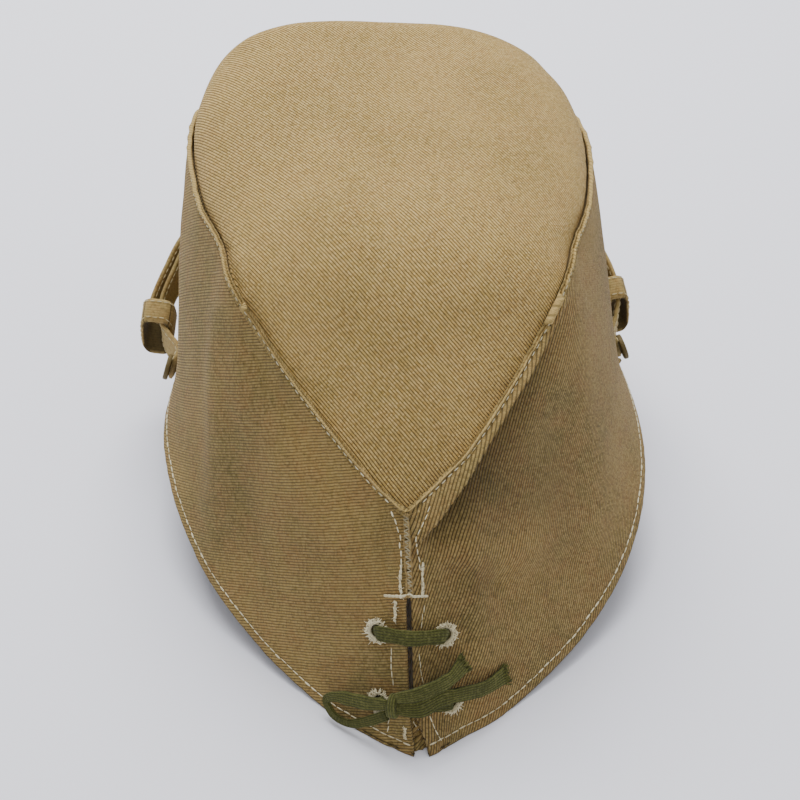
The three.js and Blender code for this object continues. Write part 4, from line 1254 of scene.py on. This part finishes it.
def buttonPiece(label, row):
    button = {"radius": 4.8, "height": 1.8, "gap": 0.05}
    place, up, _ = row
    out = -up if up.x * place.x < 0 else up.copy()
    work = bmesh.new()
    bmesh.ops.create_circle(work, cap_ends=True, segments=32, radius=button["radius"] * mm)
    bmesh.ops.solidify(work, geom=work.faces[:], thickness=button["height"] * mm)
    rim = [e for e in work.edges if e.is_manifold and e.calc_face_angle(0) > 1.0]
    bmesh.ops.bevel(work, geom=rim, offset=0.5 * mm, segments=3, affect="EDGES", profile=0.5, material=-1)
    low = min(v.co.z for v in work.verts)
    bmesh.ops.translate(work, verts=work.verts, vec=(0, 0, -low - button["height"] / 2 * mm))
    turn = Vector((0, 0, 1)).rotation_difference(out).to_matrix().to_4x4()
    centre = place + out * (strap["thick"] / 2 + button["gap"] + button["height"] / 2)
    bmesh.ops.transform(work, verts=work.verts, matrix=Matrix.Translation(toFrame(centre)) @ turn)
    bmesh.ops.recalc_face_normals(work, faces=work.faces)
    piece = finish("button_" + label, work, buttonBrown)
    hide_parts("strap_button_" + label)


buttonPiece("left", innerRows[0])
buttonPiece("right", outerRows[0])
print("strap made")


# Peak: a crescent under the front hem
def peakPiece():
    peak = {"reach": 54, "thick": 2.4, "flange": 5, "lean": 0.58, "step": 3, "start": 0.66, "least": 5.5,
            "drop": 0.9, "dip": 1, "steps": 120, "stitch": 2.2, "gap": 0.9, "thread": 0.2, "unsewn": 4}
    hemPoints = [skinPoint(mixed(peak["start"], 1, i / 10), -2) for i in range(10)]
    hemPoints += [skinPoint(1, i / 10) for i in range(-10, 11)]
    hemPoints += [skinPoint(mixed(peak["start"], 1, i / 10), 2) for i in range(9, -1, -1)]
    for point in hemPoints:
        point.z = min(point.z, column("hemZ", 1))
    samples = path(hemPoints, 1200)
    lengths = [0.0]
    for (a, _, _), (b, _, _) in zip(samples, samples[1:]):
        lengths.append(lengths[-1] + (b - a).length)
    endEdge = column("hemZ", 1) - peak["drop"] - peak["thick"]
    work = bmesh.new()
    uvLayer = work.loops.layers.uv.new("cloth")
    rings, ahead = [], 0
    stitchLines = {share: [] for share in (0.16, 0.32, 0.48, 0.64, 0.80, 0.93)}
    for i in range(peak["steps"] + 1):
        wanted = lengths[-1] * i / peak["steps"]
        while ahead < len(lengths) - 1 and lengths[ahead] < wanted:
            ahead += 1
        here, way, _ = samples[ahead]
        outward = Vector((-way.y, way.x, 0)).normalized()
        a = 2 * i / peak["steps"] - 1
        reach = peak["least"] + (peak["reach"] - peak["least"]) * math.cos(a * math.pi / 2) ** 2
        edgeZ = max(0.0, endEdge * abs(a) ** 2.4 - peak["dip"])
        rootZ = here.z - peak["drop"]
        faceOut = -cloth["wall"] - 0.3
        thick = peak["thick"]

        def at(out, z):
            return toFrame(Vector((here.x + outward.x * out, here.y + outward.y * out, z)))

        def topZ(share):
            # height of the top from the hem out to the edge, a little hollow as in the solid
            start, middle, end = rootZ - 0.4, mixed(rootZ, edgeZ + thick, 0.42), edgeZ + thick
            return (start * (1 - share) * (1 - 2 * share) + middle * 4 * share * (1 - share)
                    + end * share * (2 * share - 1))

        shares = [k / 12 for k in range(13)]
        topLine = [at(mixed(peak["step"], reach, share), topZ(share)) for share in shares]
        lowLine = [at(mixed(peak["step"], reach, share), max(topZ(share) - thick, edgeZ))
                   for share in reversed(shares)]
        rim = at(reach + 0.6, edgeZ + thick / 2)
        ring = [at(faceOut, rootZ)] + topLine + [rim] + lowLine + [
            at(faceOut - thick, max(rootZ - thick, edgeZ)),
            at(faceOut - peak["lean"] * peak["flange"] - thick, here.z + peak["flange"]),
            at(faceOut - peak["lean"] * peak["flange"], here.z + peak["flange"])]
        rings.append(ring)
        for share, line in stitchLines.items():
            line.append((at(mixed(peak["step"], reach, share), topZ(share) + 0.03), Vector((0, 0, 1))))
    tube(work, rings)
    for face in work.faces:
        for loop in face.loops:
            loop[uvLayer].uv = turned(loop.vert.co.x / mm, loop.vert.co.y / mm, 45)
    piece = finish("peak_cloth", work, peakDrill)
    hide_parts("peak")
    stitches = bmesh.new()
    for line in stitchLines.values():
        sewn = line[peak["unsewn"]:-peak["unsewn"]]
        stitchRow(stitches, sewn, peak["stitch"] * mm, peak["gap"] * mm, peak["thread"] * mm)
    finish("peak_stitches", stitches, dullThread)


peakPiece()
print("peak made")


# Stitches along the seams, the hem and the slit
seamRow = {"from": 0.034, "to": 0.98, "lift": 0.22, "stitch": 1.8, "gap": 0.9, "thread": 0.24}
hemRow = {"from": 0.003, "to": 0.98, "lift": 0.25, "stitch": 2.6, "gap": 0.2, "thread": 0.24}


def rowAlong(work, side, row, downAt, m, **uneven):
    # one row of stitches along a side. downAt gives the millimetres down from the lapped edge
    samples = 420
    line = []
    for i in range(samples + 1):
        s = mixed(row["from"], row["to"], i / samples)
        line.append((toFrame(sideSurface(side, s, downAt(s), row["lift"])), skinNormal(s, side * m)))
    stitchRow(work, line, row["stitch"] * mm, row["gap"] * mm, row["thread"] * mm, **uneven)


def seamStitches():
    work = bmesh.new()
    for side in (-1, 1):
        rowAlong(work, side, seamRow, lambda s: seam["stitchAt"], 1.02)
    finish("seam_stitches", work, whiteThread)


def hemStitches():
    work = bmesh.new()
    for side in (-1, 1):
        rowAlong(work, side, hemRow, lambda s: sideWidth(s, side) + cloth["seamLap"] - hem["stitchAt"],
                 1.96, wander=0.2, uneven=0.4)
    finish("hem_stitches", work, whiteThread)


def overCloth(x, z, extra):
    # on the finished face of the rear at x and z
    side = -1 if x < 0 else 1
    aim = x
    for _ in range(3):      # the corners spread, so the aim is corrected by what came out
        s, m = findOnSide(side, {"x": aim, "z": z}, clothFace)
        d = (abs(m) - 1) * sideWidth(s, side) + cloth["seamLap"]
        point = sideSurface(side, s, d, extra)
        aim += x - point.x
    point.x = x
    return toFrame(point), skinNormal(s, m)


# x, z of what is sewn beside the slit
slitLines = (       # length and gap of the stitches and radius of the thread, then the points
    (2.0, 0.5, 0.24, ((-5.0, 67.2), (-3.6, 64), (-2.5, 60.8), (-2.3, 52), (-2.2, 43.6))),
    (2.0, 0.5, 0.22, ((6.6, 68.2), (3.9, 63.5), (2.4, 60.8), (2.6, 56.2), (3.9, 51.8), (4.5, 43.6))),
    (2.4, 0.1, 0.17, ((-5.1, 29), (-5.0, 22), (-4.6, 16.5))),
    (2.2, 0.2, 0.17, ((-5.6, 8.5), (-6.4, 5.6), (-7.1, 2.4))),
    (2.4, 0.1, 0.17, ((4.8, 41.5), (4.4, 37), (3.9, 33.3))),
    (2.4, 0.1, 0.17, ((3.5, 28.5), (4.0, 23), (5.1, 18.5))),
    (2.2, 0.2, 0.17, ((6.6, 10.4), (8.4, 6.2), (11.1, 1.4))),
)
frayedThreads = (   # thick loose thread over a stitch line: x, top z, bottom z, radius
    (-2.3, 53.4, 44.0, 0.34), (4.4, 53.6, 44.4, 0.34), (-4.0, 43.0, 37.0, 0.4), (-1.0, 7.8, 4.6, 0.34),
)
fray = {"strands": 3, "steps": 7, "wander": 0.4, "lift": 0.25, "apart": 0.2, "loose": 9, "fibre": 0.08}
tackBar = {"z": 44.7, "from": -7.4, "to": 6.0, "middle": 0.5, "threads": 2, "apart": 0.5, "lift": 0.75,
           "steps": 12, "level": 0.56, "thread": 0.26, "overlap": 0.12}     # level: straight from the rear
binding = {"top": 66.8, "bottom": 44.4, "xTop": -0.7, "xBottom": 0.5, "width": 2.4, "thick": 0.8, "lift": 0.3,
           "sides": 20, "ribs": 0, "ribDepth": 0.0, "wander": 0.25, "corner": 0.5, "holes": 3.2}


def sewSlitLines(work):
    for length, gap, radius, line in slitLines:
        points = []
        for (x0, z0), (x1, z1) in zip(line, line[1:]):
            for k in range(6):
                z = mixed(z0, z1, k / 6)
                points.append(overCloth(mixed(x0, x1, k / 6), z, mixed(0.45, 0.1, smooth(z, 6, 14))))
        stitchRow(work, points, length * mm, gap * mm, radius * mm, wander=0.25, uneven=0.35)


def frayThread(work, x, top, bottom, radius):
    # strands that wander down the line, then short loose fibres across them
    for strand in range(fray["strands"]):
        last = None
        for k in range(fray["steps"] + 1):
            z = mixed(top, bottom, k / fray["steps"])
            aside = random.uniform(-fray["wander"], fray["wander"])
            point, up = overCloth(x + aside, z, fray["lift"] + fray["apart"] * strand)
            if last:
                thread(work, last, point, up, radius * random.uniform(0.6, 1.1) * mm)
            last = point
    for _ in range(fray["loose"]):
        z = random.uniform(bottom, top)
        a, up = overCloth(x, z, 0.3)
        b, _ = overCloth(x + random.uniform(-1.3, 1.3), z + random.uniform(-1.2, 1.2), 0.6)
        thread(work, a, b, up, fray["fibre"] * mm)


def sewTackBar(work):
    middle = overCloth(tackBar["middle"], tackBar["z"], tackBar["lift"])[0]
    bar = []
    for k in range(tackBar["steps"] + 1):
        x = mixed(tackBar["from"], tackBar["to"], k / tackBar["steps"])
        behind = (overCloth(x, tackBar["z"], tackBar["lift"])[0].y - middle.y) / mm
        bar.append(overCloth(x, tackBar["z"] - tackBar["level"] * behind, tackBar["lift"]))
    for k in range(tackBar["threads"]):
        shift = Vector((0, 0, (k - 0.5) * tackBar["apart"] * mm))
        for (a, up), (b, _) in zip(bar, bar[1:]):
            wander = Vector((0, 0, random.uniform(-0.08, 0.08) * mm))
            over = (b - a) * tackBar["overlap"]
            thread(work, a + shift + wander - over, b + shift + wander + over, up, tackBar["thread"] * mm)


def rearStitches():
    work = bmesh.new()
    sewSlitLines(work)
    for x, top, bottom, radius in frayedThreads:
        frayThread(work, x, top, bottom, radius)
    sewTackBar(work)
    finish("rear_stitches", work, whiteThread)


def bindingPiece():
    # fuzzy joint of the two sides above the slit, with its worn zigzag thread and needle holes that are
    # pushed in and darkened with painted shade
    rows = []
    for k in range(9):
        place, up = overRear(mixed(binding["xTop"], binding["xBottom"], k / 8),
                             mixed(binding["top"], binding["bottom"], k / 8), clothFace + binding["lift"])
        rows.append((place, up, binding["width"] * mixed(0.6, 1.0, min(1.0, k / 3))))

    def sunkShade(travelled, angle):
        off = abs(travelled / binding["holes"] % 1 - 0.5) * binding["holes"]
        return max(0.0, 1 - off / 0.7) * smooth(math.sin(angle), 0.85, 0.97)

    piece, length = bandPiece("slit_binding", rows, 70, binding, jointCloth, "side_drill", sunkShade=sunkShade)
    work = bmesh.new()
    steps = round(length / binding["holes"] * 2)
    last = None
    for k in range(steps * 2 + 1):
        x = mixed(binding["xTop"], binding["xBottom"], k / steps / 2) + (0.9 if k % 2 else -0.9)
        z = mixed(binding["top"], binding["bottom"], k / steps / 2) + random.uniform(-0.3, 0.3)
        point, up = overRear(x, z, clothFace + binding["lift"] + binding["thick"] / 2)
        if last:
            thread(work, toFrame(last), toFrame(point), up, 0.2 * random.uniform(0.7, 1.2) * mm)
        last = point
    finish("slit_lacing_thread", work, dullThread)


facing = {"width": 9.0, "tall": 12.4, "x": 2.6, "z": 0.2, "wall": 0.8, "thread": 0.24}
facingStitches = (      # x, z of both ends
    ((0.6, 10.2), (2.0, 7.4)), ((2.0, 7.6), (3.4, 5.4)), ((-0.4, 7.2), (0.2, 4.2)), ((0.2, 4.6), (1.0, 2.6)),
)


def underLayer():
    # the facing that shows in the notch at the foot of the slit
    work = bmesh.new()
    bmesh.ops.create_grid(work, x_segments=40, y_segments=40, size=0.5)
    uvLayer = work.loops.layers.uv.new("cloth")

    def creased(x, z):
        wave = 1.5 * noise.noise(Vector((x / 1.5 - z / 2.6, z / 9, 3)))
        return Vector((x, overRear(0.05, z, 0.0)[0].y + 0.2 + 0.03 * x * x + wave, z))

    for vert in work.verts:
        x, z = vert.co.x * facing["width"] + facing["x"], (vert.co.y + 0.5) * facing["tall"] + facing["z"]
        vert.co = toFrame(creased(x, z))
    work.normal_update()
    for face in work.faces:
        for loop in face.loops:
            loop[uvLayer].uv = turned(loop.vert.co.x / mm, loop.vert.co.z / mm, 40)
    if sum(face.normal.y for face in work.faces) > 0:
        bmesh.ops.reverse_faces(work, faces=work.faces)
    piece = finish("slit_facing", work, sideDrill)
    addWall(piece, facing["wall"])
    loose = bmesh.new()
    for start, end in facingStitches:
        a, b = (toFrame(creased(*place) + Vector((0, -0.5, 0.1))) for place in (start, end))
        thread(loose, a, b, Vector((0, -1, 0)), facing["thread"] * mm)
    finish("facing_thread", loose, whiteThread)


seamStitches()
hemStitches()
rearStitches()
bindingPiece()
underLayer()
print("stitches made")

# Floor and light
studio = {"floor": rgb(240, 241, 250), "floorSize": 6.0, "sky": 0.61, "key": 30.0, "fill": 4.0}
work = bmesh.new()
bmesh.ops.create_grid(work, x_segments=1, y_segments=1, size=studio["floorSize"] / 2)
floorData = bpy.data.meshes.new("floor")
work.to_mesh(floorData)
work.free()
floor = bpy.data.objects.new("floor", floorData)
bpy.context.scene.collection.objects.link(floor)
paper, _, paperShader = newMaterial("paper", 0.9)
paperShader.inputs["Base Color"].default_value = studio["floor"]
floorData.materials.append(paper)


def areaLight(name, power, size, place, aim):
    data = bpy.data.lights.new(name, "AREA")
    data.energy = power
    data.size = size
    lamp = bpy.data.objects.new(name, data)
    lamp.location = place
    lamp.rotation_euler = (Vector(aim) - Vector(place)).to_track_quat("-Z", "Y").to_euler()
    bpy.context.scene.collection.objects.link(lamp)


areaLight("key", studio["key"], 1.0, (-0.1, 0.62, 1.25), (0, 0.05, 0.05))
areaLight("fill", studio["fill"], 1.6, (0.6, -0.9, 1.4), (0, 0, 0.05))
world = bpy.data.worlds.new("studio")
world.use_nodes = True
world.node_tree.nodes["Background"].inputs["Color"].default_value = (0.98, 0.98, 1.0, 1)
world.node_tree.nodes["Background"].inputs["Strength"].default_value = studio["sky"]
bpy.context.scene.world = world
print("studio ready")
